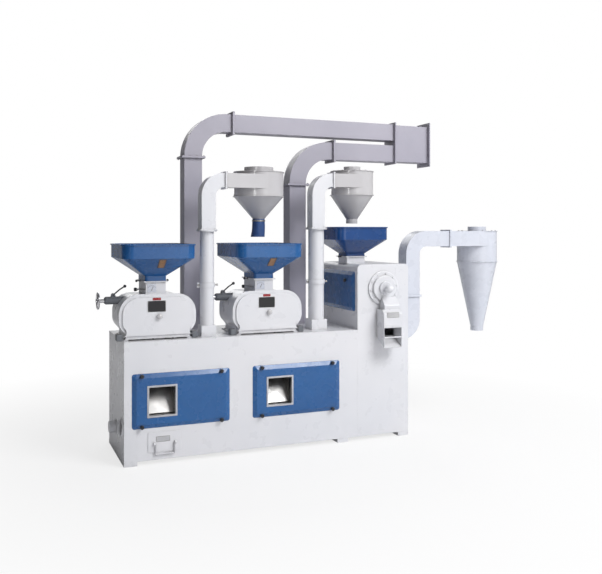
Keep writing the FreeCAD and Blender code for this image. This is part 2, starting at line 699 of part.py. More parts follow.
def cover_knobs(number):
    """The four hand knobs of an access cover."""
    face = FRONT - S.cover_depth
    knobs = [cover_knob("Y", face, spot, -1) for spot in knob_spots(number)]
    return node(f"cover_knobs_{number}", group(*knobs))


def window_frame(number):
    """Bright frame of the window: a lip on the cover and a throat behind it."""
    left = cover_start(number) + S.window_start
    xs = (left + S.hole_clearance, left + S.window_width - S.hole_clearance)
    zs = (S.window_low + S.hole_clearance, S.window_low + S.window_height - S.hole_clearance)
    face = FRONT - S.cover_depth
    throat = box_tube("Y", (face - S.window_proud, face + S.window_throat), xs, zs,
                      S.window_wall)
    lip_out = [(xs[0] - S.window_lip, xs[1] + S.window_lip),
               (zs[0] - S.window_lip, zs[1] + S.window_lip)]
    lip_in = [(xs[0] + S.window_wall, xs[1] - S.window_wall),
              (zs[0] + S.window_wall, zs[1] - S.window_wall)]
    lip = prism("Y", (face - S.window_proud, face), rectangle(*lip_out, S.window_wall),
                rectangle(*lip_in))
    return node(f"window_frame_{number}", fuse(throat, lip))


def side_cover():
    """Blue cover on the exposed left wall of the whitener cabinet, with its knob seat."""
    turn = FreeCAD.Rotation(V(0, -1, 0), V(0, 0, 1), V(-1, 0, 0), "ZXY")
    shell = put(pan(S.side_cover_width, S.side_cover_height, S.cover_depth, S.cover_bevel,
                    S.cover_corner, S.sheet),
                (STEP, FRONT + S.side_cover_start + S.side_cover_width, S.side_cover_bottom),
                turn)
    spot = (FRONT + S.side_knob_in, S.side_knob_height)
    seat = rod("X", (STEP - S.cover_depth, STEP), spot, S.knob_seat)
    bore = rod("X", (STEP - S.cover_depth - OVER, STEP + OVER), spot,
               S.stud_radius + S.hole_clearance)
    node("side_cover", cut(fuse(shell, seat), bore))
    return node("side_cover_knob", cover_knob("X", STEP - S.cover_depth, spot, -1))


# Clean-out drawer and wall ports

def cleanout_drawer():
    """Folded tray with an overlapping front and two ears for its bail."""
    x = LEFT + S.drawer_start
    xs = (x, x + S.drawer_width)
    zs = (S.drawer_bottom, S.drawer_top)
    back = FRONT + S.drawer_length
    tray = block(xs, (FRONT, back), zs)
    hollow = block((xs[0] + S.drawer_wall, xs[1] - S.drawer_wall),
                   (FRONT, back - S.drawer_wall), (zs[0] + S.drawer_wall, zs[1] + OVER))
    front = prism("Y", (FRONT - S.drawer_front, FRONT),
                  rectangle((xs[0] - S.drawer_lap, xs[1] + S.drawer_lap),
                            (zs[0] - S.drawer_lap, zs[1] + S.drawer_lap), S.drawer_lap / 2))
    face = FRONT - S.drawer_front
    mid = x + S.drawer_width / 2
    ears = []
    for way in (-1, 1):
        place = mid + way * S.bail_width / 2
        xs_ear = middle(place, S.ear_width / 2)
        reach = face - S.ear_reach
        outline = [(reach, S.bail_height - S.ear_reach / 2, S.ear_reach / 2 - OVER),
                   (face, S.bail_height - S.ear_reach / 2),
                   (face, S.bail_height + S.ear_reach / 2),
                   (reach, S.bail_height + S.ear_reach / 2, S.ear_reach / 2 - OVER)]
        ears.append(prism("X", xs_ear, outline))
    bore = rod("X", middle(mid, S.bail_width),
               (face - S.ear_reach / 2, S.bail_height), S.bail_rod + S.hole_clearance / 2)
    return node("cleanout_drawer", cut(fuse(cut(tray, hollow), front, *ears), bore))


def drawer_handle():
    """Bail of round rod hanging from the two ears."""
    mid = LEFT + S.drawer_start + S.drawer_width / 2
    y = FRONT - S.drawer_front - S.ear_reach / 2
    half = S.bail_width / 2 - S.ear_width / 2 - S.bail_rod - S.hole_clearance
    low = S.bail_height - S.bail_drop
    pieces = [rod("X", (mid - half, mid + half), (y, low), S.bail_rod)]
    for way in (-1, 1):
        x = mid + way * half
        pieces.append(rod("Z", (low, S.bail_height), (x, y), S.bail_rod))
        pieces.append(ball((x, y, low), S.bail_rod))
        pieces.append(ball((x, y, S.bail_height), S.bail_rod))
        pin_end = mid + way * (S.bail_width / 2 + S.ear_width / 2)
        pieces.append(rod("X", (x, pin_end) if way > 0 else (pin_end, x),
                          (y, S.bail_height), S.bail_rod))
    return node("drawer_handle", fuse(*pieces))


def side_ports():
    """Rim of the air inlet and the capped clean-out spigot on the left wall."""
    inlet = (FRONT + S.inlet_in, S.inlet_height)
    wide = S.inlet_radius + S.port_rim
    rim = turned("X", inlet, [(S.inlet_radius - S.sheet, LEFT - S.port_proud),
                              (S.inlet_radius, LEFT - S.port_proud),
                              (wide, LEFT), (S.inlet_radius - S.sheet, LEFT)][::-1])
    spigot = (FRONT + S.spigot_in, S.spigot_height)
    out = LEFT - S.spigot_length
    radius = S.spigot_radius
    cap = turned("X", spigot, [(0, out), (0, out + S.sheet), (radius - S.sheet, out + S.sheet),
                               (radius - S.sheet, LEFT), (radius + S.port_rim, LEFT),
                               (radius + S.port_rim, LEFT - S.sheet), (radius, LEFT - S.sheet),
                               (radius, out, S.sheet * 2)])
    return node("side_ports", group(rim, cap))


def grain_chutes():
    """Two sloping troughs that bring the hulled grain from the heads to the windows."""
    chutes = []
    for number in (1, 2):
        x = cover_start(number) + S.window_start + S.window_width / 2
        head = FRONT + S.head_front + S.outlet_front + S.outlet_depth
        foot = FRONT + S.sheet + S.window_throat
        rise = S.chute_sill + S.chute_rise
        floor = [(foot, S.chute_sill - S.chute_wall), (head, rise - S.chute_wall),
                 (head, rise), (foot, S.chute_sill)]
        cheek = [(foot, S.chute_sill - S.chute_wall), (head, rise - S.chute_wall),
                 (head, UNDER_DECK), (head - S.chute_cheek * 2, UNDER_DECK),
                 (foot, S.chute_sill + S.chute_cheek)]
        pieces = [prism("X", middle(x, S.chute_half), floor)]
        for way in (-1, 1):
            edge = x + way * S.chute_half
            span = (edge, edge + S.chute_wall) if way > 0 else (edge - S.chute_wall, edge)
            pieces.append(prism("X", span, cheek))
        chutes.append(fuse(*pieces))
    return node("grain_chutes", group(*chutes))


# Hulling heads

def head_outline(x, margin, bottom):
    """Front outline of a head, drawn in by a margin (out where the margin is negative)."""
    half = S.head_half - margin
    top = S.head_top - margin
    waist = S.head_waist - margin
    foot = S.foot_half - margin
    shoulder = S.head_shoulder - margin
    right = [(x + foot, bottom), (x + waist, S.waist_height, S.waist_round),
             (x + half, S.belly_height, S.belly_round - margin), (x + half, top, shoulder)]
    left = [(2 * x - place[0], *place[1:]) for place in right[::-1]]
    return right + left


def head_planes():
    """Front plane, bulkhead front, bulkhead back and back plane of the heads."""
    front = FRONT + S.head_front
    wall = front + S.bulkhead
    return front, wall, wall + S.bulkhead_wall, front + S.head_depth


def roll_places(number):
    """Axes of the fast and the slow roll."""
    x = head_centre(number)
    off = S.roll_radius + S.roll_gap / 2
    return (x + off, S.roll_axis), (x - off, S.roll_axis)


def huller_housing(number):
    """Plate-built head: halves of the flanged shell, halves of the belt chamber and, between
    them, the bulkhead with its bearing and pivot pin."""
    x = head_centre(number)
    front, wall, wall_back, back = head_planes()
    bottom = DECK
    body = prism("Y", (front, back), head_outline(x, sized(0), bottom))
    rim = prism("Y", (front, front + S.head_flange_depth),
                head_outline(x, -S.head_flange, bottom))
    foot = block(middle(x, S.foot_half + S.foot_flange), (front, back),
                 (bottom, bottom + S.foot_flange_height))
    hollow_front = prism("Y", (front - OVER, wall), head_outline(x, S.head_wall, bottom - OVER))
    hollow_back = prism("Y", (wall_back, back - S.head_wall),
                        head_outline(x, S.head_wall, bottom - OVER))
    shell = cut(fuse(body, rim, foot), hollow_front, hollow_back)
    fast, slow = roll_places(number)
    bearing = rod("Y", (wall - S.bearing_length, wall), fast, S.bearing_radius)
    pivot = (x - S.arm_pivot_in, S.arm_pivot_height)
    arm_front = arm_planes()[0]
    pin_seat = rod("Y", (arm_planes()[1] + S.gate_gap, wall), pivot, S.arm_pivot_radius)
    pin = rod("Y", (arm_front, wall), pivot, S.pivot_pin)
    neck = block(middle(x, S.neck_half_width - S.neck_wall),
                 (FRONT + S.neck_front + S.neck_wall,
                  FRONT + S.neck_front + S.neck_depth - S.neck_wall),
                 (S.head_top - S.head_wall - OVER, S.head_top + OVER))
    bore = rod("Y", (wall - S.bearing_length - OVER, wall_back + OVER), fast,
               S.shaft_radius + S.running_fit)
    spindle = rod("X", (x - S.head_half - S.head_flange, x - S.arm_eye_in),
                  (FRONT + S.spindle_depth, S.spindle_height),
                  S.spindle_radius + S.hole_clearance)
    reach = S.head_half + 2 * S.head_flange
    heights = (bottom - OVER, S.head_top + 2 * S.head_flange)
    left_side = block((x - reach, x), (front - OVER, back + OVER), heights)
    right_side = block((x, x + reach), (front - OVER, back + OVER), heights)
    fore = block((x - reach, x + reach), (front - OVER, wall), heights)
    rear = block((x - reach, x + reach), (wall_back, back + OVER), heights)
    fore_and_wall = block((x - reach, x + reach), (front - OVER, wall_back), heights)
    wall_and_rear = block((x - reach, x + reach), (wall, back + OVER), heights)
    bulkhead = cut(fuse(cut(shell, fore, rear), bearing, pin_seat, pin), bore)
    plates = [cut(shell, side, rest, neck, spindle)
              for side in (left_side, right_side) for rest in (wall_and_rear, fore_and_wall)]
    return node(f"huller_housing_{number}", group(bulkhead, *plates))


def head_cover(number):
    """Dished front cover of a head: flat rim, raised face and turned-out edge."""
    x = head_centre(number)
    front = head_planes()[0]
    low = DECK + S.foot_flange_height + OVER
    rim = prism("Y", (front - S.head_cover_wall, front), head_outline(x, -S.head_flange, low))
    inset = S.head_cover_rim - S.head_flange
    face_low = low + S.head_cover_rim
    raised = prism("Y", (front - S.head_cover_dish, front - S.head_cover_wall),
                   head_outline(x, inset, face_low))
    hollow = prism("Y", (front - S.head_cover_dish + S.head_cover_wall, front + OVER),
                   head_outline(x, inset + S.head_cover_wall, face_low + S.head_cover_wall))
    return node(f"huller_cover_{number}", cut(fuse(rim, raised), hollow))


def roll(name, centre, shaft_end, *extras):
    """Rubber sleeve on a steel drum with web, hub and shaft."""
    front = head_planes()[0] + S.roll_front
    back = front + S.roll_width
    drum = S.roll_radius - S.rubber
    inner = drum - S.drum_wall
    web = front + (S.roll_width - S.web_depth) / 2
    profile = [(0, front + S.web_depth), (S.shaft_radius, front + S.web_depth),
               (S.hub_radius, front + S.web_depth), (S.hub_radius, web, 6), (inner, web, 6),
               (inner, front), (drum, front), (drum, back), (inner, back),
               (inner, web + S.web_depth, 6), (S.hub_radius, web + S.web_depth, 6),
               (S.hub_radius, back), (S.shaft_radius, back), (S.shaft_radius, shaft_end),
               (0, shaft_end)]
    metal = turned("Y", centre, profile[::-1][:-2] + [(0, front + S.web_depth)])
    sleeve = ring("Y", (front, back), centre, S.roll_radius, drum)
    return node(name, group(metal, sleeve, *extras))


def pulley(centre, radius, bore):
    """A V-belt pulley with one broad groove, between the planes of the belts."""
    low, high = belt_span()
    deep = radius - S.groove
    profile = [(bore, low), (radius + S.groove, low), (radius + S.groove, low + S.groove),
               (radius, low + S.groove), (radius, high - S.groove),
               (radius + S.groove, high - S.groove), (radius + S.groove, high), (bore, high)]
    recess = ring("Y", (high - S.groove * 2, high + OVER), centre, deep, bore + S.groove)
    return cut(turned("Y", centre, profile), recess)


def arm_planes():
    """Front and back of the swinging arm, behind the rolls."""
    back_of_roll = head_planes()[0] + S.roll_front + S.roll_width
    return back_of_roll + S.roll_clearance, back_of_roll + S.roll_clearance + S.arm_width


def rolls(number):
    """The fast roll with its pulley, the slow roll and the arm that carries it."""
    x = head_centre(number)
    fast, slow = roll_places(number)
    wheel = pulley(fast, S.head_pulley, S.shaft_radius)
    roll(f"fast_roll_{number}", fast, belt_span()[1], wheel)
    arm_front, arm_back = arm_planes()
    roll(f"slow_roll_{number}", slow, arm_back)
    pivot = (x - S.arm_pivot_in, S.arm_pivot_height)
    eye = (x - S.arm_eye_in, S.spindle_height)
    link = prism("Y", (arm_front, arm_back),
                 ((*pivot, S.arm_pivot_radius), (*slow, S.bearing_radius)), pen=draw_link)
    finger = prism("Y", (arm_front, arm_back),
                   ((*slow, S.bearing_radius), (*eye, S.arm_eye_radius)), pen=draw_link)
    bores = [rod("Y", (arm_front - OVER, arm_back + OVER), pivot, S.pivot_pin + S.running_fit),
             rod("Y", (arm_front - OVER, arm_back + OVER), slow, S.shaft_radius + S.running_fit),
             rod("X", middle(eye[0], S.arm_eye_radius * 3),
                 (FRONT + S.spindle_depth, S.spindle_height), S.arm_eye_bore)]
    return node(f"roll_arm_{number}", cut(fuse(link, finger), *bores))


def adjuster(number):
    """Spindle boss on the side of a head and the lever ears on it."""
    x = head_centre(number)
    y = FRONT + S.spindle_depth
    axis = (y, S.spindle_height)
    out = x - S.boss_out
    inner = x - S.head_half + S.head_shoulder / 2
    barrel = turned("X", axis, [(0, out), (0, inner), (S.boss_radius, inner),
                                (S.boss_radius, out + 12, 6), (S.boss_radius - 8, out, 3)])
    pivot = x - S.lever_pivot
    ears = []
    for way in (-1, 1):
        near = y + way * (S.lever_boss_width / 2 + S.gate_gap)
        far = near + way * S.lever_ear
        span = (near, far) if way > 0 else (far, near)
        ears.append(prism("Y", span, ((pivot, S.spindle_height, S.boss_radius - 6),
                                      (pivot, S.lever_pivot_height, S.lever_boss)),
                          pen=draw_link))
    body = prism("Y", (head_planes()[0], head_planes()[3]), head_outline(x, sized(0), DECK))
    bore = rod("X", (out - OVER, inner + OVER), axis, S.spindle_radius + S.running_fit)
    pin_hole = rod("Y", middle(y, S.boss_radius * 2), (pivot, S.lever_pivot_height),
                   S.lever_rod + S.running_fit)
    slot = rod("Y", middle(y, S.lever_boss_width / 2 + S.gate_gap),
               (pivot, S.lever_pivot_height), S.lever_boss + 2)
    return cut(fuse(barrel, *ears), body, bore, pin_hole, slot)


def handwheel(number):
    """Chrome three-spoke handwheel with its hub, grip ring and spindle."""
    x = head_centre(number)
    axis = (FRONT + S.spindle_depth, S.spindle_height)
    at = x - S.handwheel_out
    spindle = rod("X", (at, x - S.spindle_end), axis, S.spindle_radius)
    hub = turned("X", axis, [(0, at - S.wheel_hub_length / 2), (0, x - S.boss_out - S.gate_gap),
                             (S.wheel_hub, x - S.boss_out - S.gate_gap),
                             (S.wheel_hub, at - S.wheel_hub_length / 2, 4)])
    rim = doc.addObject("Part::Torus", "rim")
    bind(rim, "Radius1", S.handwheel_radius - S.handwheel_rim)
    bind(rim, "Radius2", S.handwheel_rim)
    put(rim, (at, *axis), TURNS["X"])
    spokes = []
    for turn in (90, 210, 330):
        spoke = doc.addObject("Part::Cylinder", "spoke")
        bind(spoke, "Radius", S.spoke_radius)
        bind(spoke, "Height", S.handwheel_radius - S.handwheel_rim)
        spokes.append(put(spoke, (at, *axis), FreeCAD.Rotation(V(1, 0, 0), turn)))
    return node(f"handwheel_{number}", fuse(spindle, hub, rim, *spokes))


def engaging_lever(number):
    """Cranked lever with a ball grip, on a pin between the ears of the boss."""
    x = head_centre(number) - S.lever_pivot
    y = FRONT + S.spindle_depth
    z = S.lever_pivot_height
    reach = S.lever_boss_width / 2
    boss = rod("Y", middle(y, reach), (x, z), S.lever_boss)
    pin = rod("Y", middle(y, reach + S.gate_gap + S.lever_ear), (x, z), S.lever_rod)
    pieces = [boss, pin]
    for length, angle in ((S.lever_first, S.lever_first_angle),
                          (S.lever_second, S.lever_second_angle)):
        bar = doc.addObject("Part::Cylinder", "bar")
        bind(bar, "Radius", S.lever_rod)
        bind(bar, "Height", length)
        turn = FreeCAD.Rotation(V(0, 1, 0), 90 - angle.value)
        pieces.append(put(bar, (x, y, z), turn))
        x = x + length * cosine(angle)
        z = z + length * sine(angle)
        pieces.append(ball((x, y, z), S.lever_rod))
    pieces.append(ball((x, y, z), S.lever_ball))
    return node(f"engaging_lever_{number}", fuse(*pieces))


def neck_planes():
    """Front and back of the feed necks."""
    return FRONT + S.neck_front, FRONT + S.neck_front + S.neck_depth


def feed_neck(number):
    """Square feed neck with a top flange and the slot of its gate."""
    x = head_centre(number)
    xs = middle(x, S.neck_half_width)
    ys = neck_planes()
    walls = box_tube("Z", (S.head_top, S.neck_top), xs, ys, S.neck_wall)
    lip = collar("Z", S.neck_top - S.neck_flange_height / 2, S.neck_flange_height / 2, xs, ys,
                 S.neck_flange)
    slot = block((xs[0] - OVER, xs[0] + S.neck_wall + OVER),
                 (ys[0] + S.neck_wall, ys[1] - S.neck_wall),
                 (S.gate_height - S.gate_gap, S.gate_height + S.gate_plate + S.gate_gap))
    guides = []
    for low, high in ((ys[0] + S.neck_wall, ys[0] + S.neck_wall * 3),
                      (ys[1] - S.neck_wall * 3, ys[1] - S.neck_wall)):
        guides.append(block((xs[0] + S.neck_wall, xs[1] - S.neck_wall), (low, high),
                            (S.gate_height - S.gate_gap - S.neck_wall,
                             S.gate_height - S.gate_gap)))
    return node(f"feed_neck_{number}", cut(fuse(walls, lip, *guides), slot))


def feed_gate(number):
    """Sliding gate plate with its pull stem and black knob on the left."""
    x = head_centre(number)
    ys = neck_planes()
    left = x - S.neck_half_width
    right = x + S.neck_half_width - S.neck_wall - S.gate_gap
    margin = S.neck_wall + S.gate_gap
    z = S.gate_height
    plate = prism("Z", (z, z + S.gate_plate),
                  rectangle((left - S.neck_wall * 2, right), (ys[0] + margin, ys[1] - margin),
                            S.neck_wall))
    mid = (ys[0] + ys[1]) / 2
    end = left - S.neck_wall * 2
    axis = (mid, z + S.gate_plate / 2)
    stem = rod("X", (end - S.gate_tail, end + S.gate_plate), axis, S.stud_radius)
    tip = end - S.gate_tail - S.gate_knob_length
    knob = turned("X", axis, [(0, tip), (0, end - S.gate_tail), (8, end - S.gate_tail),
                              (S.gate_knob_radius, end - S.gate_tail - 8, 3),
                              (S.gate_knob_radius, tip, 5)])
    return node(f"feed_gate_{number}", fuse(plate, stem, knob))


def hopper(name, x, y, half_x, half_y, bottom, spout, rim, top, spout_half):
    """Blue sheet hopper: spout, sloping walls with rounded corners, upright rim with a lip."""
    spout_x, spout_y = spout_half

    def skin(margin, low, high):
        small = rectangle(middle(x, spout_x - margin), middle(y, spout_y - margin),
                          S.spout_corner - margin)
        large = rectangle(middle(x, half_x - margin), middle(y, half_y - margin),
                          S.hopper_corner - margin)
        return loft("Z", (low, small), (spout, small), (rim, large), (high, large))

    lip_out = rectangle(middle(x, half_x + S.hopper_lip), middle(y, half_y + S.hopper_lip),
                        S.hopper_corner + S.hopper_lip)
    lip_in = rectangle(middle(x, half_x - S.hopper_wall), middle(y, half_y - S.hopper_wall),
                       S.hopper_corner - S.hopper_wall)
    lip = prism("Z", (top - S.hopper_lip_height, top), lip_out, lip_in)
    shell = cut(skin(sized(0), bottom, top), skin(S.hopper_wall, bottom - OVER, top + OVER))
    return node(name, fuse(shell, lip))


def head_hopper(number):
    """Hopper of a hulling head, standing on the flange of its neck."""
    ys = neck_planes()
    return hopper(f"hopper_{number}", head_centre(number), (ys[0] + ys[1]) / 2,
                  S.hopper_half_width, S.hopper_depth / 2, S.neck_top, S.hopper_spout,
                  S.hopper_rim, S.hopper_top,
                  (S.neck_half_width + S.spout_margin,
                   S.neck_depth / 2 + S.spout_margin))


# Whitener

def whitener():
    """End cover, barrel with its screen slots, ribbed roller, knob, outlet, neck and hopper."""
    centre = (LEFT + S.whitener_centre, S.whitener_axis)
    back = FRONT + S.barrel_length
    barrel = turned("Y", centre, [
        (S.barrel_radius - S.barrel_wall, FRONT), (S.barrel_radius - 0.3, FRONT),
        (S.barrel_radius - 0.3, back), (S.shaft_radius + S.running_fit, back),
        (S.shaft_radius + S.running_fit, back - S.barrel_end),
        (S.barrel_radius - S.barrel_wall, back - S.barrel_end)][::-1])
    slots = []
    for i in range(int(S.screen_slots.value)):
        start = FRONT + 30 + i * S.slot_width * 3
        slots.append(block(middle(centre[0], S.barrel_radius / 2), (start, start + S.slot_width),
                           (centre[1] - S.barrel_radius - OVER,
                            centre[1] - S.barrel_radius / 2)))
    feed = block(middle(centre[0], S.barrel_radius / 2),
                 (back - S.barrel_end - 60, back - S.barrel_end - 6),
                 (centre[1] + S.barrel_radius / 2, centre[1] + S.barrel_radius + OVER))
    node("whitener_barrel", cut(barrel, feed, *slots))
    start = FRONT + 24
    core = turned("Y", centre, [
        (0, start), (0, belt_span()[1]), (S.shaft_radius, belt_span()[1]),
        (S.shaft_radius, start + S.roller_length), (S.roller_radius - S.roller_rib,
                                                    start + S.roller_length, 4),
        (S.roller_radius - S.roller_rib, start, 4)])
    ribs = [block(middle(centre[0], S.roller_rib / 2),
                  (start + 8, start + S.roller_length - 8), span)
            for span in ((centre[1], centre[1] + S.roller_radius),
                         (centre[1] - S.roller_radius, centre[1]))]
    node("whitener_roller", group(fuse(core, *ribs),
                                  pulley(centre, S.head_pulley, S.shaft_radius)))
    face = FRONT - S.end_flange_depth
    hub_face = FRONT - S.end_hub_depth
    disc = turned("Y", centre, [
        (S.ball_knob_stem + S.running_fit, FRONT), (S.ball_knob_stem + S.running_fit, hub_face),
        (S.end_hub_radius, hub_face, 6), (S.end_hub_radius, FRONT - S.end_ring_depth, 6),
        (S.end_ring_radius, FRONT - S.end_ring_depth, 8), (S.end_ring_radius, face),
        (S.end_flange_radius, face, 3), (S.end_flange_radius, FRONT)])
    bolts = []
    for i in range(int(S.end_bolts.value)):
        angle = i * 360 / S.end_bolts + 90 / S.end_bolts
        place = (centre[0] + S.end_bolt_ring * cosine(angle),
                 centre[1] + S.end_bolt_ring * sine(angle))
        bolts.append(rod("Y", (face - S.end_bolt_head, face), place, S.end_bolt))
    arm_x = LEFT + S.arm_start
    arm_outline = [(FRONT, S.outlet_top), (FRONT, S.arm_top),
                   (FRONT - S.end_ring_depth, S.arm_top, 10),
                   (FRONT - S.arm_reach, S.outlet_top + 30, 14), (FRONT - S.arm_reach, S.outlet_top)]
    arm = prism("X", (arm_x, arm_x + S.end_flange_radius), arm_outline[::-1])
    node("whitener_end_cover", fuse(disc, arm, *bolts))
    stem_end = FRONT - S.sheet
    knob_y = hub_face - S.ball_knob_reach
    node("pressure_knob", fuse(
        rod("Y", (knob_y, stem_end), centre, S.ball_knob_stem),
        ball((centre[0], knob_y - S.ball_knob / 2, centre[1]), S.ball_knob)))
    outlet_chute()
    whitener_feed()


def outlet_chute():
    """Folded outlet box under the end cover with a barred open mouth."""
    x = LEFT + S.outlet_start
    xs = (x, x + S.outlet_width)
    reach = FRONT - S.outlet_reach
    outline = [(FRONT, S.mouth_low + S.outlet_width / 2), (FRONT, S.outlet_top),
               (reach + 30, S.outlet_top, 12), (reach, S.outlet_top - 30, 12),
               (reach, S.mouth_low)]
    box = prism("X", xs, outline[::-1])
    wall = S.outlet_wall
    inner = [(FRONT + OVER, S.mouth_low + S.outlet_width / 2 + wall * 2),
             (FRONT + OVER, S.outlet_top - wall), (reach + 30, S.outlet_top - wall, 9),
             (reach + wall, S.outlet_top - 30, 9), (reach + wall, S.mouth_low + wall * 2)]
    hollow = prism("X", (xs[0] + wall, xs[1] - wall), inner[::-1])
    mouth = block((xs[0] + wall, xs[1] - wall), (reach - OVER, reach + wall + OVER),
                  (S.mouth_low + wall * 2, S.outlet_low))
    arm_x = LEFT + S.arm_start
    top = block((arm_x + wall, arm_x + S.end_flange_radius - wall),
                (FRONT - S.arm_reach + wall, FRONT - wall),
                (S.outlet_top - wall - OVER, S.outlet_top + OVER))
    bars = [rod("X", (xs[0] + wall, xs[1] - wall), (reach + S.mouth_bar, z), S.mouth_bar)
            for z in (S.outlet_low - S.mouth_bar,
                      S.mouth_low + (S.outlet_low - S.mouth_low) / 2)]
    return node("outlet_chute", fuse(cut(box, hollow, mouth, top), *bars))


def whitener_feed():
    """Neck and the small hopper of the whitener."""
    x = LEFT + S.whitener_hopper_centre
    y = FRONT + S.whitener_hopper_depth_centre
    half = S.whitener_neck_half
    walls = box_tube("Z", (S.tall_height, S.whitener_neck_top), middle(x, half),
                     middle(y, half), S.neck_wall)
    lip = collar("Z", S.whitener_neck_top - S.neck_flange_height / 2, S.neck_flange_height / 2,
                 middle(x, half), middle(y, half), S.neck_flange)
    foot = collar("Z", S.tall_height + S.neck_wall / 2, S.neck_wall / 2, middle(x, half),
                  middle(y, half), S.neck_flange)
    node("whitener_neck", fuse(walls, lip, foot))
    hopper("whitener_hopper", x, y, S.whitener_hopper_half, S.whitener_hopper_half,
           S.whitener_neck_top, S.whitener_spout, S.whitener_hopper_rim, S.whitener_hopper_top,
           (half + S.spout_margin, half + S.spout_margin))


# Lift pipes and cyclones

def lift_pipe(number, radius, joint, top, flange_x):
    """Lift pipe: foot box, round riser, joint flange, square head and gooseneck."""
    x, y = lift_centre(number)
    wall = S.lift_wall
    half = S.goose_width / 2
    foot = box_tube("Z", (DECK, DECK + S.lift_foot_height), middle(x, radius + wall),
                    middle(y, radius + wall), wall)
    lid = prism("Z", (DECK + S.lift_foot_height - wall, DECK + S.lift_foot_height),
                rectangle(middle(x, radius + wall), middle(y, radius + wall)))
    riser = rod("Z", (DECK + S.lift_foot_height - wall, joint), (x, y), radius)
    bore = rod("Z", (DECK + S.lift_foot_height - wall - OVER, joint + OVER), (x, y),
               radius - wall)
    band = rod("Z", (S.lift_clamp, S.lift_clamp + S.clamp_height), (x, y),
               radius + S.clamp_wall)
    lug = block((x - radius - S.joint_flange, x), middle(y, S.clamp_wall),
                (S.lift_clamp, S.lift_clamp + S.clamp_height))
    flange = rod("Z", (joint - S.joint_thickness, joint), (x, y), radius + S.joint_flange)
    flange_up = prism("Z", (joint, joint + S.joint_thickness),
                      rectangle(middle(x, half + S.joint_flange / 2),
                                middle(y, half + S.joint_flange / 2)),
                      rectangle(middle(x, half - wall), middle(y, half - wall)))
    round_part = cut(fuse(foot, lid, riser, band, lug, flange), bore)
    bend_z = top - S.goose_inner - S.goose_height
    bend_x = x + half + S.goose_inner
    square = box_tube("Z", (joint + S.joint_thickness, bend_z), middle(x, half),
                      middle(y, half), wall)
    bend = elbow(bend_x, bend_z, (S.goose_inner, S.goose_inner + S.goose_width),
                 middle(y, half), wall, -1)
    run_z = (bend_z + S.goose_inner, bend_z + S.goose_inner + S.goose_width)
    run = box_tube("X", (bend_x, flange_x), middle(y, half), run_z, wall)
    mate = collar("X", flange_x - S.joint_thickness / 2, S.joint_thickness / 2,
                  middle(y, half), run_z, S.joint_flange / 2)
    return node(f"lift_pipe_{number}", fuse(round_part, flange_up, square, bend, run, mate)), run_z


def cyclone(number, inlet_x, inlet_z, inlet_y):
    """Cyclone: cylinder, cone, outlet collar, top plate with its vent and tangential inlet."""
    values = {name: getattr(S, f"cyclone_{number}_{name}")
              for name in ("depth", "radius", "base", "top", "outlet", "mouth", "stub")}
    c = SimpleNamespace(**values)
    x = LEFT + getattr(S, f"cyclone_{number}")
    y = FRONT + c.depth
    wall = S.cyclone_wall
    mouth_top = c.outlet + S.outlet_collar
    top = c.top
    shell = [(c.mouth - wall, c.outlet), (c.mouth, c.outlet), (c.mouth, mouth_top),
             (c.radius, c.base), (c.radius, top), (c.stub, top),
             (c.stub, top + S.stub_height), (c.stub - wall, top + S.stub_height),
             (c.stub - wall, top - S.stub_drop), (c.stub, top - S.stub_drop),
             (c.stub, top - wall), (c.radius - wall, top - wall), (c.radius - wall, c.base),
             (c.mouth - wall, mouth_top)]
    body = turned("Z", (x, y), shell)
    ledge = ring("Z", (c.base - wall, c.base + wall), (x, y), c.radius + wall * 2,
                 c.radius - wall)
    cap = ring("Z", (top - wall * 2, top), (x, y), c.radius + wall * 2, c.radius - wall)
    keep = rod("Z", (c.base, top - wall), (x, y), c.radius - wall)
    duct = block((inlet_x, x), inlet_y, inlet_z)
    hollow = block((inlet_x - OVER, x),
                   (inlet_y[0] + wall, inlet_y[1] - wall), (inlet_z[0] + wall, inlet_z[1] - wall))
    mate = collar("X", inlet_x + S.joint_thickness / 2, S.joint_thickness / 2, inlet_y,
                  inlet_z, S.joint_flange / 2)
    opened = cut(fuse(body, ledge, cap), hollow)
    return x, y, c, fuse(opened, cut(duct, hollow, keep), mate)


def pneumatics():
    """Both lift pipes, the three cyclones and the grain sleeve."""
    half = S.goose_width / 2
    goose_1 = LEFT + S.lift_1 + half + S.goose_inner + S.joint_thickness * 2
    goose_2 = LEFT + S.lift_2 + half + S.goose_inner + S.joint_thickness * 2
    _, run_1 = lift_pipe(1, S.lift_1_radius, S.lift_joint_1, S.goose_top_1, goose_1)
    _, run_2 = lift_pipe(2, S.lift_2_radius, S.lift_joint_2, S.goose_top_2, goose_2)
    ys_1 = middle(FRONT + S.lift_1_depth, half)
    x, y, c, body = cyclone(1, goose_1, run_1, ys_1)
    node("cyclone_1", body)
    sleeve = turned("Z", (x, y), [
        (S.cyclone_1_mouth + 0.3, S.sleeve_top), (S.cyclone_1_mouth + 0.3 + S.sleeve_wall,
                                                  S.sleeve_top),
        (S.sleeve_bottom_radius, S.sleeve_bottom),
        (S.sleeve_bottom_radius - S.sleeve_wall, S.sleeve_bottom)][::-1])
    node("grain_sleeve", sleeve)
    ys_2 = middle(FRONT + S.lift_2_depth, half)
    node("cyclone_2", cyclone(2, goose_2, run_2, ys_2)[3])
    bran_y = middle(FRONT + S.bran_depth_centre, S.bran_width / 2)
    node("cyclone_3", cyclone(3, LEFT + S.bran_flange_at, bran_top_span(), bran_y)[3])


def bran_top_span():
    """Bottom and top planes of the level run of the bran duct."""
    return (S.bran_top - S.bran_width, S.bran_top)


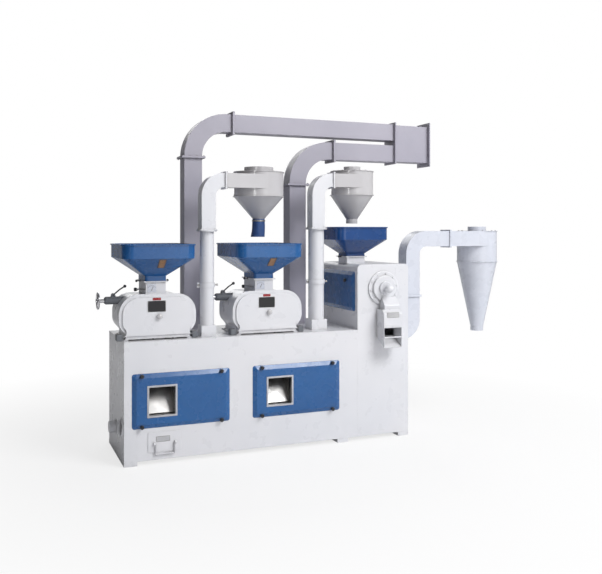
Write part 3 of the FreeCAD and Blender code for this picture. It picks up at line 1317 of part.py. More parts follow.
def bran_duct():
    """White duct from the whitener cabinet up and over to the bran cyclone."""
    ys = middle(FRONT + S.bran_depth_centre, S.bran_width / 2)
    wall = S.duct_wall
    low_z = S.bran_low + S.bran_width + S.bran_bend
    xs = (RIGHT + S.bran_bend, RIGHT + S.bran_bend + S.bran_width)
    low = elbow(RIGHT, low_z, (S.bran_bend, S.bran_bend + S.bran_width), ys, wall, 1)
    bend_x = xs[1] + S.bran_top_bend
    bend_z = S.bran_top - S.bran_width - S.bran_top_bend
    riser = box_tube("Z", (low_z, bend_z), xs, ys, wall)
    joint = collar("Z", S.bran_joint, S.joint_thickness, xs, ys, S.joint_flange / 2)
    high = elbow(bend_x, bend_z, (S.bran_top_bend, S.bran_top_bend + S.bran_width), ys, wall, -1)
    end = LEFT + S.bran_flange_at
    run = box_tube("X", (bend_x, end), ys, bran_top_span(), wall)
    mate = collar("X", end - S.joint_thickness / 2, S.joint_thickness / 2, ys, bran_top_span(),
                  S.joint_flange / 2)
    wall_flange = collar("X", RIGHT + S.joint_thickness / 2, S.joint_thickness / 2, ys,
                         (S.bran_low, S.bran_low + S.bran_width), S.joint_flange / 2)
    return node("bran_duct", fuse(low, riser, joint, high, run, mate, wall_flange))


# Suction ducts and collector

def run_planes(number):
    """Bottom and top planes of the level run of a suction duct."""
    if number == 1:
        return (S.duct_1_joint + S.duct_1_bend, S.duct_1_joint + S.duct_1_bend + S.duct_1_width)
    return (S.duct_2_joint + S.duct_2_bend, S.duct_2_joint + S.duct_2_bend + S.duct_2_width)


def suction_duct(number, joint, bend, width, elbow_end):
    """Grey square suction duct: foot, riser, elbow, level run and its flanges."""
    xs = duct_span(number)
    wall = S.duct_wall
    reach = S.joint_flange
    foot = collar("Z", DECK + S.joint_thickness / 2, S.joint_thickness / 2, xs, DUCT_YS,
                  S.duct_foot)
    riser = box_tube("Z", (DECK, joint), xs, DUCT_YS, wall)
    mate = collar("Z", joint - S.joint_thickness, S.joint_thickness, xs, DUCT_YS, reach)
    centre_x = xs[1] + bend
    corner = elbow(centre_x, joint, (bend, bend + width), DUCT_YS, wall, -1)
    zs = run_planes(number)
    run = box_tube("X", (centre_x, LEFT + S.duct_end), DUCT_YS, zs, wall)
    second = collar("X", LEFT + elbow_end, S.joint_thickness, DUCT_YS, zs, reach)
    return node(f"suction_duct_{number}", fuse(foot, riser, mate, corner, run, second))


def collector():
    """Collector box of both ducts: inlet plate, box and the bolted end flange."""
    x = LEFT + S.duct_end
    end = LEFT + S.collector_end
    wall = S.duct_wall
    zs = (S.collector_low + S.joint_flange, S.collector_top - S.joint_flange)
    reach = S.collector_flange
    box = box_tube("X", (x, end), DUCT_YS, zs, wall)
    plate = prism("X", (x, x + S.joint_thickness),
                  rectangle((DUCT_YS[0] - reach, DUCT_YS[1] + reach),
                            (S.collector_low, S.collector_top)))
    ports = [block((x - OVER, x + S.joint_thickness + OVER),
                   (DUCT_YS[0] + wall, DUCT_YS[1] - wall), (low + wall, high - wall))
             for low, high in (run_planes(1), run_planes(2))]
    rim = prism("X", (end - S.joint_thickness, end),
                rectangle((DUCT_YS[0] - S.end_flange, DUCT_YS[1] + S.end_flange),
                          (zs[0] - S.end_flange, zs[1] + S.end_flange)),
                rectangle((DUCT_YS[0] + wall, DUCT_YS[1] - wall), (zs[0] + wall, zs[1] - wall)))
    holes = [rod("X", (end - S.joint_thickness - OVER, end + OVER), (y, z), S.end_plate_hole)
             for y in (DUCT_YS[0] - S.end_flange / 2, DUCT_YS[1] + S.end_flange / 2)
             for z in (zs[0] - S.end_flange / 2, zs[1] + S.end_flange / 2)]
    return node("collector", cut(fuse(box, plate, rim), *ports, *holes))


# Drive

def drive():
    """Three motors on the frame rails, their pulleys and the belts up to the shafts."""
    low, high = belt_span()
    front = FRONT + S.motor_front
    z = S.motor_axis
    rail_top = S.skid_height + S.rail_height
    motors = []
    belts = []
    upper = [roll_places(1)[0], roll_places(2)[0], (LEFT + S.whitener_centre, S.whitener_axis)]
    for number, wheel in enumerate(upper, start=1):
        x = wheel[0]
        centre = (x, z)
        can = turned("Y", centre, [
            (S.motor_shaft + S.running_fit, front), (S.motor_shaft + S.running_fit, front + 40),
            (0, front + 40), (0, front + S.motor_length), (S.motor_radius - S.fin_height,
                                                           front + S.motor_length, 12),
            (S.motor_radius - S.fin_height, front, 8)])
        fins = []
        for i in range(int(S.motor_fins.value)):
            fin = doc.addObject("Part::Box", "fin")
            bind(fin, "Length", S.motor_radius)
            bind(fin, "Width", S.motor_length - 40)
            bind(fin, "Height", S.fin_width)
            turn = FreeCAD.Rotation(V(0, 1, 0), 360 / S.motor_fins.value * i)
            fins.append(put(fin, (x, front + 20, z), turn))
        feet = block(middle(x, S.motor_foot_half),
                     (front + S.motor_foot_start, front + S.motor_length - 20),
                     (rail_top, rail_top + S.motor_foot))
        web = block(middle(x, S.motor_foot_half / 2),
                    (front + S.motor_foot_start, front + S.motor_length - 30),
                    (rail_top + S.motor_foot, z))
        box = block(middle(x, S.terminal_box / 2), (front + 40, front + 40 + S.terminal_box),
                    (z, z + S.motor_radius + 30))
        keep = rod("Y", (front - OVER, front + 40), centre, S.motor_shaft + S.running_fit)
        motors.append(cut(fuse(can, *fins, feet, web, box), keep))
        shaft = rod("Y", (low, front + 39), centre, S.motor_shaft)
        node(f"motor_pulley_{number}",
             fuse(pulley(centre, S.motor_pulley, S.motor_shaft), shaft))
        inner = ((*wheel, S.head_pulley + S.belt_gap), (*centre, S.motor_pulley + S.belt_gap))
        outer = tuple((a, b, radius + S.belt_thickness) for a, b, radius in inner)
        belts.append(prism("Y", (low + S.groove + 1, high - S.groove - 1), outer, inner,
                           pen=draw_link))
    node("motors", group(*motors))
    return node("drive_belts", group(*belts))


base_frame()
front_panel()
side_and_rear_panel()
deck_plate()
whitener_cabinet()
for number in (1, 2):
    access_cover(number)
    cover_knobs(number)
    window_frame(number)
side_cover()
cleanout_drawer()
drawer_handle()
side_ports()
grain_chutes()
for number in (1, 2):
    huller_housing(number)
    head_cover(number)
    rolls(number)
    handwheel(number)
    engaging_lever(number)
    feed_neck(number)
    feed_gate(number)
    head_hopper(number)
node("adjuster_bodies", group(adjuster(1), adjuster(2)))
whitener()
pneumatics()
bran_duct()
suction_duct(1, S.duct_1_joint, S.duct_1_bend, S.duct_1_width, S.duct_1_elbow_end)
suction_duct(2, S.duct_2_joint, S.duct_2_bend, S.duct_2_width, S.duct_2_elbow_end)
collector()
drive()

doc.recompute()
failed = [item.Label for item in doc.Objects if {"Invalid", "Error"} & set(item.State)]
if failed:
    raise RuntimeError(f"objects failed: {failed}")
os.makedirs("parts", exist_ok=True)
for name, item in nodes.items():
    if item.Shape.isNull() or not item.Shape.isValid():
        raise RuntimeError(f"{name} has no valid shape")
for name, item in nodes.items():
    item.Shape.exportStep(f"parts/{name}.step")
print(len(nodes), "nodes")
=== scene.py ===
"""Looks of a combined rice hulling line: cabinets, hulling heads, hoppers, pipes and cyclones.

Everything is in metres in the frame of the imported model: X along the row to the whitener end,
Y to the back and Z up, with the floor at zero.
"""

import logging
import math
from dataclasses import dataclass, field
from enum import Enum
from typing import Optional, Sequence, Union

import bmesh
import bpy
import numpy as np
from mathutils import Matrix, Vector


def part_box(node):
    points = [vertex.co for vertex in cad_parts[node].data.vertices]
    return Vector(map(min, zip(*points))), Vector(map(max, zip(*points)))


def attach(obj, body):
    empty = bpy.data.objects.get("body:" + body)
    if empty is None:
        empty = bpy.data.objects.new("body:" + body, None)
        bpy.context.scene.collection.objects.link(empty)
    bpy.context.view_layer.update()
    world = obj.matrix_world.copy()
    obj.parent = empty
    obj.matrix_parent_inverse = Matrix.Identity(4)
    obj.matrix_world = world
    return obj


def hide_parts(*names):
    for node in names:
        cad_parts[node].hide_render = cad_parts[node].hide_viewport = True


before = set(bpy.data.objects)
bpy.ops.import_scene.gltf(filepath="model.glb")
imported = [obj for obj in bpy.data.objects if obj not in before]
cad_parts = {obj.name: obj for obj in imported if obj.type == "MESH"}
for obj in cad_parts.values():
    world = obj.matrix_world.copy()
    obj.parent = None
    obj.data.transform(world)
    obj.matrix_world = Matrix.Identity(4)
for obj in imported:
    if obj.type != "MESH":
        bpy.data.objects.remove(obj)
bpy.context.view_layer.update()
LOG = logging.getLogger("rice_hulling_line")

Colour = tuple[float, float, float]
Point = tuple[float, float, float]
Span = tuple[float, float]
Socket = bpy.types.NodeSocket
Outputs = bpy.types.NodeOutputs
Feed = Union[Socket, float, tuple, None]
Pattern = tuple[float, float, Span]
RIGHT: Point = (1.0, 0.0, 0.0)
LEFTWARD: Point = (-1.0, 0.0, 0.0)
FORWARD: Point = (0.0, -1.0, 0.0)
UP: Point = (0.0, 0.0, 1.0)
DOWN: Point = (0.0, 0.0, -1.0)
DRAWER_FRONT = 0.003
DECK_TOP = 0.850
SAME_SPOT = 1e-7
SOFT_EDGE = 0.0006
RIM_DEPTH = 0.0010
RIM_CORNER = 0.004
BLANK_DEPTH = 0.0006
BLANK_CORNER = 0.002
BLANK_EDGE = 0.0002
RIVET_INSET = 2.6
RIVET_PROFILE = ((1.0, 0.0), (0.9, 0.35), (0.5, 0.6))
WASHER_PROFILE = ((1.45, 0.0), (1.45, 0.22), (1.3, 0.3))
HEAD_PROFILE = ((1.0, 0.3), (1.0, 0.85), (0.82, 1.0))
SCREW_SHANK = ((0.0068, 0.0), (0.0068, 0.004), (0.0035, 0.0045))
SCREW_HEAD = ((0.0035, 0.013), (0.0075, 0.012), (0.0085, 0.009), (0.0085, 0.002), (0.007, 0.0))
SCREW_DROP = 0.004
WING_SIZE = (0.030, 0.008)
WING_DEPTH = 0.003
WING_CORNER = 0.0035
WING_BACK = 0.006


class Graph:
    """A node tree with short calls for adding and joining its nodes."""

    def __init__(self, tree: bpy.types.NodeTree) -> None:
        """Keep the tree that the nodes go into."""
        self.tree = tree

    def add(self, kind: str, inputs: Optional[dict] = None, **settings: object) -> bpy.types.Node:
        """Add a shader node.

        Args:
            kind: The node's type without its common prefix.
            inputs: Values or sockets for its inputs, by name or number.
            settings: Properties of the node itself.

        Returns:
            The new node.
        """
        node = self.tree.nodes.new("ShaderNode" + kind)
        for name, value in settings.items():
            setattr(node, name, value)
        for name, value in (inputs or {}).items():
            if isinstance(value, Socket):
                self.tree.links.new(value, node.inputs[name])
            elif value is not None:
                node.inputs[name].default_value = value
        return node

    def maths(self, operation: str, first: Feed, second: Feed = None) -> Socket:
        """Work out one number, kept between 0 and 1."""
        node = self.add("Math", {0: first, 1: second}, operation=operation, use_clamp=True)
        return node.outputs[0]

    def vector(self, operation: str, first: Feed, second: Feed = None) -> Socket:
        """Work out one vector."""
        return self.add("VectorMath", {0: first, 1: second}, operation=operation).outputs[0]

    def noise(self, place: Feed, scale: Feed, detail: float = 2.0) -> Socket:
        """Soft random values over space."""
        inputs = {"Vector": place, "Scale": scale, "Detail": detail}
        return self.add("TexNoise", inputs).outputs["Fac"]

    def spread(self, value: Feed, source: Span, target: Span = (0.0, 1.0)) -> Socket:
        """Stretch a range of values to another range, clamped at its ends."""
        inputs = {"Value": value, "From Min": source[0], "From Max": source[1],
                  "To Min": target[0], "To Max": target[1]}
        return self.add("MapRange", inputs, clamp=True).outputs["Result"]

    def mix(self, share: Feed, first: Feed, second: Feed) -> Socket:
        """Blend two colours."""
        node = self.add("Mix", data_type="RGBA")
        for index, value in ((0, share), (6, first), (7, second)):
            if isinstance(value, Socket):
                self.tree.links.new(value, node.inputs[index])
            else:
                node.inputs[index].default_value = value if index == 0 else (*value, 1.0)
        return node.outputs[2]

    def patches(self, place: Feed, pattern: Pattern, target: Span = (0.0, 1.0)) -> Socket:
        """Noise stretched from a part of its range to the target.

        Args:
            place: The coordinates.
            pattern: Scale, detail and the part of the noise's range.
            target: The values at that part's ends.

        Returns:
            The stretched noise.
        """
        scale, detail, span = pattern
        return self.spread(self.noise(place, scale, detail), span, target)

    def layers(self, base: Feed, *coats: tuple) -> Socket:
        """Lay colours over a base in order, each coat a mask and its colour."""
        for mask, colour in coats:
            base = self.mix(mask, base, colour)
        return base

    def swing(self, value: Feed, source: Span, middle: float, shares: Span) -> Socket:
        """Stretch a range of values to two shares of a middle value."""
        return self.spread(value, source, (middle * shares[0], middle * shares[1]))

    def seen(self) -> Socket:
        """Whether a ray comes straight from the camera or has passed through glass."""
        path = self.add("LightPath").outputs
        return self.maths("ADD", path["Is Camera Ray"], path["Is Transmission Ray"])

    def bump(self, height: Feed, distance: float, normal: Feed = None,
             strength: float = 1.0) -> Socket:
        """Raise a normal by a height."""
        inputs = {"Strength": strength, "Distance": distance, "Height": height,
                  "Normal": normal}
        return self.add("Bump", inputs).outputs[0]


class Effect:
    """A surface effect that several finishes share, kept as one shader node group."""

    name = "effect"
    inputs: tuple = ()
    outputs: tuple = ()

    def wire(self, graph: Graph, source: Outputs) -> dict:
        """Build the inside of the group.

        Args:
            graph: The group's own graph.
            source: Sockets that carry the group's inputs.

        Returns:
            The socket for each output name.
        """
        raise NotImplementedError

    def tree(self) -> bpy.types.NodeTree:
        """Give the group, built the first time that it is asked for."""
        found = bpy.data.node_groups.get(self.name)
        if found:
            return found
        tree = bpy.data.node_groups.new(self.name, "ShaderNodeTree")
        for label, kind in self.inputs:
            tree.interface.new_socket(label, in_out="INPUT", socket_type="NodeSocket" + kind)
        for label, kind in self.outputs:
            tree.interface.new_socket(label, in_out="OUTPUT", socket_type="NodeSocket" + kind)
        start = tree.nodes.new("NodeGroupInput")
        finish = tree.nodes.new("NodeGroupOutput")
        for label, socket in self.wire(Graph(tree), start.outputs).items():
            tree.links.new(socket, finish.inputs[label])
        return tree

    def place(self, graph: Graph, **values: Feed) -> Outputs:
        """Put the group into a material with its own values.

        Args:
            graph: The material's graph.
            values: A value or a socket for each input.

        Returns:
            The group's outputs in that material.
        """
        node = graph.tree.nodes.new("ShaderNodeGroup")
        node.node_tree = self.tree()
        for label, value in values.items():
            socket = node.inputs[label.capitalize()]
            if isinstance(value, Socket):
                graph.tree.links.new(value, socket)
            else:
                socket.default_value = value
        return node.outputs


class PaintSkin(Effect):
    """Sprayed paint: fine orange peel, slow waves of the sheet and patches of gloss."""

    name = "paint_skin"
    inputs = (("Place", "Vector"), ("Grain", "Float"))
    outputs = (("Height", "Float"), ("Gloss", "Float"), ("Tone", "Float"))
    wave_scale = 3.2
    gloss_scale = 11.0
    tone_scale = 1.7
    wave_share = 5.0
    detail = 3.0

    def wire(self, graph: Graph, source: Outputs) -> dict:
        """Peel plus waves as height, and two slow patterns."""
        peel = graph.noise(source["Place"], source["Grain"], 1.0)
        waves = graph.noise(source["Place"], self.wave_scale, 1.0)
        high = graph.add("Math", {0: waves, 1: self.wave_share, 2: peel},
                         operation="MULTIPLY_ADD").outputs[0]
        return {"Height": high,
                "Gloss": graph.noise(source["Place"], self.gloss_scale, self.detail),
                "Tone": graph.noise(source["Place"], self.tone_scale, self.detail)}


class EdgeWear(Effect):
    """Rounded edges and the paint rubbed thin along them."""

    name = "edge_wear"
    inputs = (("Place", "Vector"), ("Radius", "Float"), ("Amount", "Float"))
    outputs = (("Normal", "Vector"), ("Wear", "Float"))
    chips = (38.0, 4.0, (0.48, 0.66))
    bend_start = 0.004
    bend_full = 0.10
    samples = 3

    def wire(self, graph: Graph, source: Outputs) -> dict:
        """How far the rounded normal leans from the true one, broken up by noise."""
        soft = graph.add("Bevel", {"Radius": source["Radius"]}, samples=self.samples)
        true = graph.add("NewGeometry").outputs["Normal"]
        lean = graph.add("VectorMath", {0: soft.outputs[0], 1: true}, operation="DOT_PRODUCT")
        bend = graph.maths("SUBTRACT", 1.0, lean.outputs["Value"])
        edge = graph.spread(bend, (self.bend_start, self.bend_full))
        worn = graph.maths("MULTIPLY", edge, graph.patches(source["Place"], self.chips))
        return {"Normal": soft.outputs[0],
                "Wear": graph.maths("MULTIPLY", worn, source["Amount"])}


class SettledDust(Effect):
    """Pale bran dust that lies on faces that look up, and thin film elsewhere."""

    name = "settled_dust"
    inputs = (("Place", "Vector"), ("Amount", "Float"))
    outputs = (("Mask", "Float"),)
    lying_span = (0.55, 0.98)
    film_span = (0.04, 1.0)
    blotches = (7.0, 4.0, (0.36, 0.72))
    specks = (90.0, 2.0, (0.3, 0.8))

    def wire(self, graph: Graph, source: Outputs) -> dict:
        """Upward share of the normal times patches and specks."""
        normal = graph.add("NewGeometry").outputs["Normal"]
        upward = graph.add("SeparateXYZ", {0: normal}).outputs["Z"]
        level = graph.spread(upward, self.lying_span, self.film_span)
        both = graph.maths("MULTIPLY", graph.patches(source["Place"], self.blotches),
                           graph.patches(source["Place"], self.specks))
        lying = graph.maths("MULTIPLY", level, both)
        return {"Mask": graph.maths("MULTIPLY", lying, source["Amount"])}


class CornerGrimeAndShade(Effect):
    """Grey handling dirt together with painted shade in corners and along seams."""

    name = "corner_grime_and_shade"
    inputs = (("Place", "Vector"), ("Reach", "Float"), ("Amount", "Float"))
    outputs = (("Mask", "Float"),)
    closed_span = (0.85, 0.25)
    smears = (16.0, 4.0, (0.3, 0.75))
    samples = 4

    def wire(self, graph: Graph, source: Outputs) -> dict:
        """Closeness to other surfaces, taken as painted shade, broken up by smears."""
        near = graph.add("AmbientOcclusion", {"Distance": source["Reach"]}, samples=self.samples)
        # Occluded corners become the mask: painted shade, mixed with smeared handling dirt.
        closed = graph.spread(near.outputs["AO"], self.closed_span)
        dirt_and_shade = graph.maths("MULTIPLY", closed, graph.patches(source["Place"], self.smears))
        return {"Mask": graph.maths("MULTIPLY", dirt_and_shade, source["Amount"])}


class BrushLines(Effect):
    """Fine lines left by rolling or brushing, stretched along one direction."""

    name = "brush_lines"
    inputs = (("Place", "Vector"), ("Stretch", "Vector"))
    outputs = (("Height", "Float"), ("Gloss", "Float"), ("Tone", "Float"))
    line_scale = 60.0
    gloss_scale = 20.0
    smear_scale = 9.0
    detail = 3.0

    def wire(self, graph: Graph, source: Outputs) -> dict:
        """Noise on stretched coordinates for the lines and on plain ones for the smears."""
        along = graph.vector("MULTIPLY", source["Place"], source["Stretch"])
        return {"Height": graph.noise(along, self.line_scale, 2.0),
                "Gloss": graph.noise(along, self.gloss_scale, self.detail),
                "Tone": graph.noise(source["Place"], self.smear_scale, self.detail)}


PAINT_SKIN = PaintSkin()
EDGE_WEAR = EdgeWear()
SETTLED_DUST = SettledDust()
CORNER_GRIME_AND_SHADE = CornerGrimeAndShade()
BRUSH_LINES = BrushLines()

DUST: Colour = (0.62, 0.55, 0.43)
# Colour laid by the corner mask: handling dirt and painted shade in one.
GRIME_AND_SHADE: Colour = (0.16, 0.14, 0.12)


def start_material(name: str) -> tuple[bpy.types.Material, Graph, Socket]:
    """Make an empty material.

    Args:
        name: The material's name.

    Returns:
        The material, its graph and the socket with the piece's own coordinates.
    """
    material = bpy.data.materials.new(name)
    material.use_nodes = True
    material.node_tree.nodes.clear()
    graph = Graph(material.node_tree)
    place = graph.add("TexCoord").outputs["Object"]
    return material, graph, place


def close_material(graph: Graph, shader: bpy.types.Node) -> None:
    """Join the shader to the material's output."""
    output = graph.add("OutputMaterial")
    graph.tree.links.new(shader.outputs[0], output.inputs["Surface"])


class Surface:
    """A finish made of one Principled shader."""

    name: str

    def wire(self, graph: Graph, place: Socket) -> dict:
        """Work out the shader's inputs.

        Args:
            graph: The material's graph.
            place: Socket with the piece's own coordinates.

        Returns:
            The value or socket for each input.
        """
        raise NotImplementedError

    def material(self) -> bpy.types.Material:
        """Build the whole material."""
        material, graph, place = start_material(self.name)
        close_material(graph, graph.add("BsdfPrincipled", self.wire(graph, place)))
        return material


@dataclass(frozen=True)
class Aged(Surface):
    """A finish in two tones, with rounded edges, dust, and grime with painted shade in corners."""

    name: str
    colour: Colour
    shade: Colour
    roughness: float = 0.30
    edge: float = 0.0022
    wear: float = 0.55
    dust: float = 0.35
    # Strength of the corner mask of grime and painted shade.
    grime_and_shade: float = 0.55
    reach: float = 0.045
    tone_span: Span = (0.35, 0.68)
    gloss_span: Span = (0.3, 0.75)
    gloss_swing: Span = (0.8, 1.35)

    def ageing(self, graph: Graph, place: Feed) -> tuple:
        """The edge effect's outputs and the masks of dust and of grime with painted corner shade.
        """
        edges = EDGE_WEAR.place(graph, place=place, radius=self.edge, amount=self.wear)
        dust = SETTLED_DUST.place(graph, place=place, amount=self.dust)["Mask"]
        grime_and_shade = CORNER_GRIME_AND_SHADE.place(graph, place=place, reach=self.reach, amount=self.grime_and_shade)["Mask"]
        return edges, dust, grime_and_shade

    def rough(self, graph: Graph, gloss: Feed) -> Socket:
        """Roughness that swings with a pattern about the finish's own."""
        return graph.swing(gloss, self.gloss_span, self.roughness, self.gloss_swing)


@dataclass(frozen=True)
class Paint(Aged):
    """Sprayed paint over steel, with its wear, dust, and grime with painted shade in corners."""

    bare: Colour = (0.30, 0.29, 0.28)
    grain: float = 240.0
    peel: float = 0.00016
    dust_rough: float = 0.5
    coat: float = 0.25
    coat_rough: float = 0.12

    def wire(self, graph: Graph, place: Socket) -> dict:
        """Two tones of paint, darkened in corners by dirt and painted shade, bare at edges and
        dusty on top.
        """
        skin = PAINT_SKIN.place(graph, place=place, grain=self.grain)
        edges, dust, grime_and_shade = self.ageing(graph, place)
        tone = graph.spread(skin["Tone"], self.tone_span)
        # The corner layer paints shade into the colour along with the grime.
        base = graph.layers(self.colour, (tone, self.shade), (grime_and_shade, GRIME_AND_SHADE),
                            (edges["Wear"], self.bare), (dust, DUST))
        rough = graph.maths("ADD", self.rough(graph, skin["Gloss"]),
                            graph.maths("MULTIPLY", dust, self.dust_rough))
        return {"Base Color": base, "Roughness": rough, "Metallic": edges["Wear"],
                "Normal": graph.bump(skin["Height"], self.peel, edges["Normal"]),
                "Coat Weight": self.coat, "Coat Roughness": self.coat_rough}


@dataclass(frozen=True)
class BareMetal(Aged):
    """Unpainted metal with brush lines, smears, and corners darkened by grime and painted shade.
    """

    roughness: float = 0.32
    edge: float = 0.0012
    wear: float = 0.0
    dust: float = 0.15
    grime_and_shade: float = 0.7
    reach: float = 0.03
    tone_span: Span = (0.35, 0.7)
    gloss_span: Span = (0.25, 0.75)
    gloss_swing: Span = (0.7, 1.4)
    stretch: Point = (1.0, 1.0, 12.0)
    depth: float = 0.00006
    dirt_and_shade_span: Span = (0.1, 0.9)
    metal_span: Span = (1.0, 0.3)

    def wire(self, graph: Graph, place: Socket) -> dict:
        """Brushed metal, less metallic under dust and under the corner mask of grime and painted
        shade.
        """
        lines = BRUSH_LINES.place(graph, place=place, stretch=self.stretch)
        edges, dust, grime_and_shade = self.ageing(graph, place)
        tone = graph.spread(lines["Tone"], self.tone_span)
        dirt_and_shade = graph.maths("ADD", dust, grime_and_shade)
        # The corner layer paints shade into the colour along with the grime.
        return {"Base Color": graph.layers(self.colour, (tone, self.shade), (grime_and_shade, GRIME_AND_SHADE),
                                           (dust, DUST)),
                "Roughness": self.rough(graph, lines["Gloss"]),
                "Metallic": graph.spread(dirt_and_shade, self.dirt_and_shade_span, self.metal_span),
                "Normal": graph.bump(lines["Height"], self.depth, edges["Normal"])}


@dataclass(frozen=True)
class CastIron(Aged):
    """Rough sand-cast iron under a thin paint."""

    roughness: float = 0.55
    edge: float = 0.003
    wear: float = 0.9
    dust: float = 0.45
    grime_and_shade: float = 0.6
    reach: float = 0.03
    tone_span: Span = (0.3, 0.7)
    gloss_span: Span = (0.2, 0.8)
    gloss_swing: Span = (0.8, 1.2)
    bare: Colour = (0.36, 0.35, 0.34)
    sand: float = 0.0006
    sand_scale: float = 190.0
    sand_detail: float = 6.0
    sand_strength: float = 0.8

    def wire(self, graph: Graph, place: Socket) -> dict:
        """Sand grains that set the height, the tone and the gloss."""
        grains = graph.noise(place, self.sand_scale, self.sand_detail)
        edges, dust, grime_and_shade = self.ageing(graph, place)
        tone = graph.spread(grains, self.tone_span)
        # The corner layer paints shade into the colour along with the grime.
        base = graph.layers(self.colour, (tone, self.shade), (grime_and_shade, GRIME_AND_SHADE),
                            (edges["Wear"], self.bare), (dust, DUST))
        return {"Base Color": base, "Roughness": self.rough(graph, grains),
                "Metallic": edges["Wear"],
                "Normal": graph.bump(grains, self.sand, edges["Normal"], self.sand_strength)}


@dataclass(frozen=True)
class Moulded(Surface):
    """Moulded plastic or rubber: fine pitted skin, rubbed edges and dust."""

    name: str
    colour: Colour
    rubbed: Colour
    roughness: float = 0.38
    grain: float = 420.0
    pit: float = 0.00008
    edge: float = 0.0010
    wear: float = 0.8
    dust: float = 0.3
    gloss_span: Span = (0.3, 0.75)
    gloss_swing: Span = (0.8, 1.3)

    def wire(self, graph: Graph, place: Socket) -> dict:
        """Dark skin, paler where it is rubbed."""
        skin = PAINT_SKIN.place(graph, place=place, grain=self.grain)
        edges = EDGE_WEAR.place(graph, place=place, radius=self.edge, amount=self.wear)
        dust = SETTLED_DUST.place(graph, place=place, amount=self.dust)["Mask"]
        return {"Base Color": graph.layers(self.colour, (edges["Wear"], self.rubbed),
                                           (dust, DUST)),
                "Roughness": graph.swing(skin["Gloss"], self.gloss_span, self.roughness,
                                         self.gloss_swing),
                "Normal": graph.bump(skin["Height"], self.pit, edges["Normal"])}


@dataclass(frozen=True)
class RubberRoll(Surface):
    """A steel roll whose outer layer, beyond a radius from its axis, is rubber."""

    name: str
    axis_x: float
    axis_z: float
    rubber_end: float = -0.050
    metal_radius: float = 0.0915
    rubber: Colour = (0.42, 0.20, 0.09)
    steel: Colour = (0.42, 0.42, 0.43)
    burnt: Colour = (0.20, 0.12, 0.07)
    burnt_span: Span = (0.45, 0.8)
    stretch: Point = (1.0, 0.08, 1.0)
    dust: float = 0.6
    depth: float = 0.0003
    strength: float = 0.6
    rough_span: Span = (0.4, 0.75)
    metal_span: Span = (0.9, 0.0)

    def wire(self, graph: Graph, place: Socket) -> dict:
        """Steel and rubber, told apart by the distance to the axis."""
        near = graph.vector("SUBTRACT", place, (self.axis_x, 0.0, self.axis_z))
        flat = graph.vector("MULTIPLY", near, (1.0, 0.0, 1.0))
        radius = graph.add("VectorMath", {0: flat}, operation="LENGTH").outputs["Value"]
        outside = graph.maths("GREATER_THAN", radius, self.metal_radius)
        depth = graph.add("SeparateXYZ", {0: place}).outputs["Y"]
        before = graph.add("Math", {0: depth, 1: self.rubber_end}, operation="LESS_THAN")
        mask = graph.maths("MULTIPLY", outside, before.outputs[0])
        lines = BRUSH_LINES.place(graph, place=place, stretch=self.stretch)
        dust = SETTLED_DUST.place(graph, place=place, amount=self.dust)["Mask"]
        base = graph.layers(self.steel, (mask, self.rubber),
                            (graph.spread(lines["Tone"], self.burnt_span), self.burnt),
                            (dust, DUST))
        return {"Base Color": base,
                "Roughness": graph.spread(mask, (0.0, 1.0), self.rough_span),
                "Metallic": graph.spread(mask, (0.0, 1.0), self.metal_span),
                "Normal": graph.bump(lines["Height"], self.depth, strength=self.strength)}


@dataclass(frozen=True)
class Vinyl(Surface):
    """Coated cloth of the grain sleeve: a fine plain weave under a soft sheen."""

    name: str
    colour: Colour
    faded: Colour
    wave_scale: float = 45.0
    wobble: float = 0.4
    tone: Pattern = (24.0, 3.0, (0.35, 0.7))
    depth: float = 0.0003
    strength: float = 0.5
    rough_span: Span = (0.62, 0.42)
    sheen: float = 0.2

    def wire(self, graph: Graph, place: Socket) -> dict:
        """Crossed waves on the sleeve's own UV map."""
        inputs = {"Vector": graph.add("TexCoord").outputs["UV"], "Scale": self.wave_scale,
                  "Distortion": self.wobble}
        weave = graph.maths("MULTIPLY", *(
            graph.add("TexWave", inputs, bands_direction=way).outputs["Fac"] for way in "XY"))
        tone = graph.patches(place, self.tone)
        return {"Base Color": graph.mix(tone, self.colour, self.faded),
                "Roughness": graph.spread(weave, (0.0, 1.0), self.rough_span),
                "Normal": graph.bump(weave, self.depth, strength=self.strength),
                "Sheen Weight": self.sheen}


@dataclass(frozen=True)
class Acrylic(Surface):
    """Tinted sight window with grain seen through it as a warm mottle."""

    name: str
    light: Colour
    dark: Colour
    grain_scale: float = 260.0
    grain_span: Span = (0.1, 0.7)
    scuffs: Pattern = (60.0, 5.0, (0.4, 0.7))
    rough_span: Span = (0.08, 0.3)
    coat: float = 0.6
    coat_rough: float = 0.05

    def wire(self, graph: Graph, place: Socket) -> dict:
        """Mottle of grains under a scuffed, glossy coat."""
        grains = graph.add("TexVoronoi", {"Vector": place, "Scale": self.grain_scale})
        mottle = graph.spread(grains.outputs["Distance"], self.grain_span)
        return {"Base Color": graph.mix(mottle, self.light, self.dark),
                "Roughness": graph.patches(place, self.scuffs, self.rough_span),
                "Coat Weight": self.coat, "Coat Roughness": self.coat_rough}


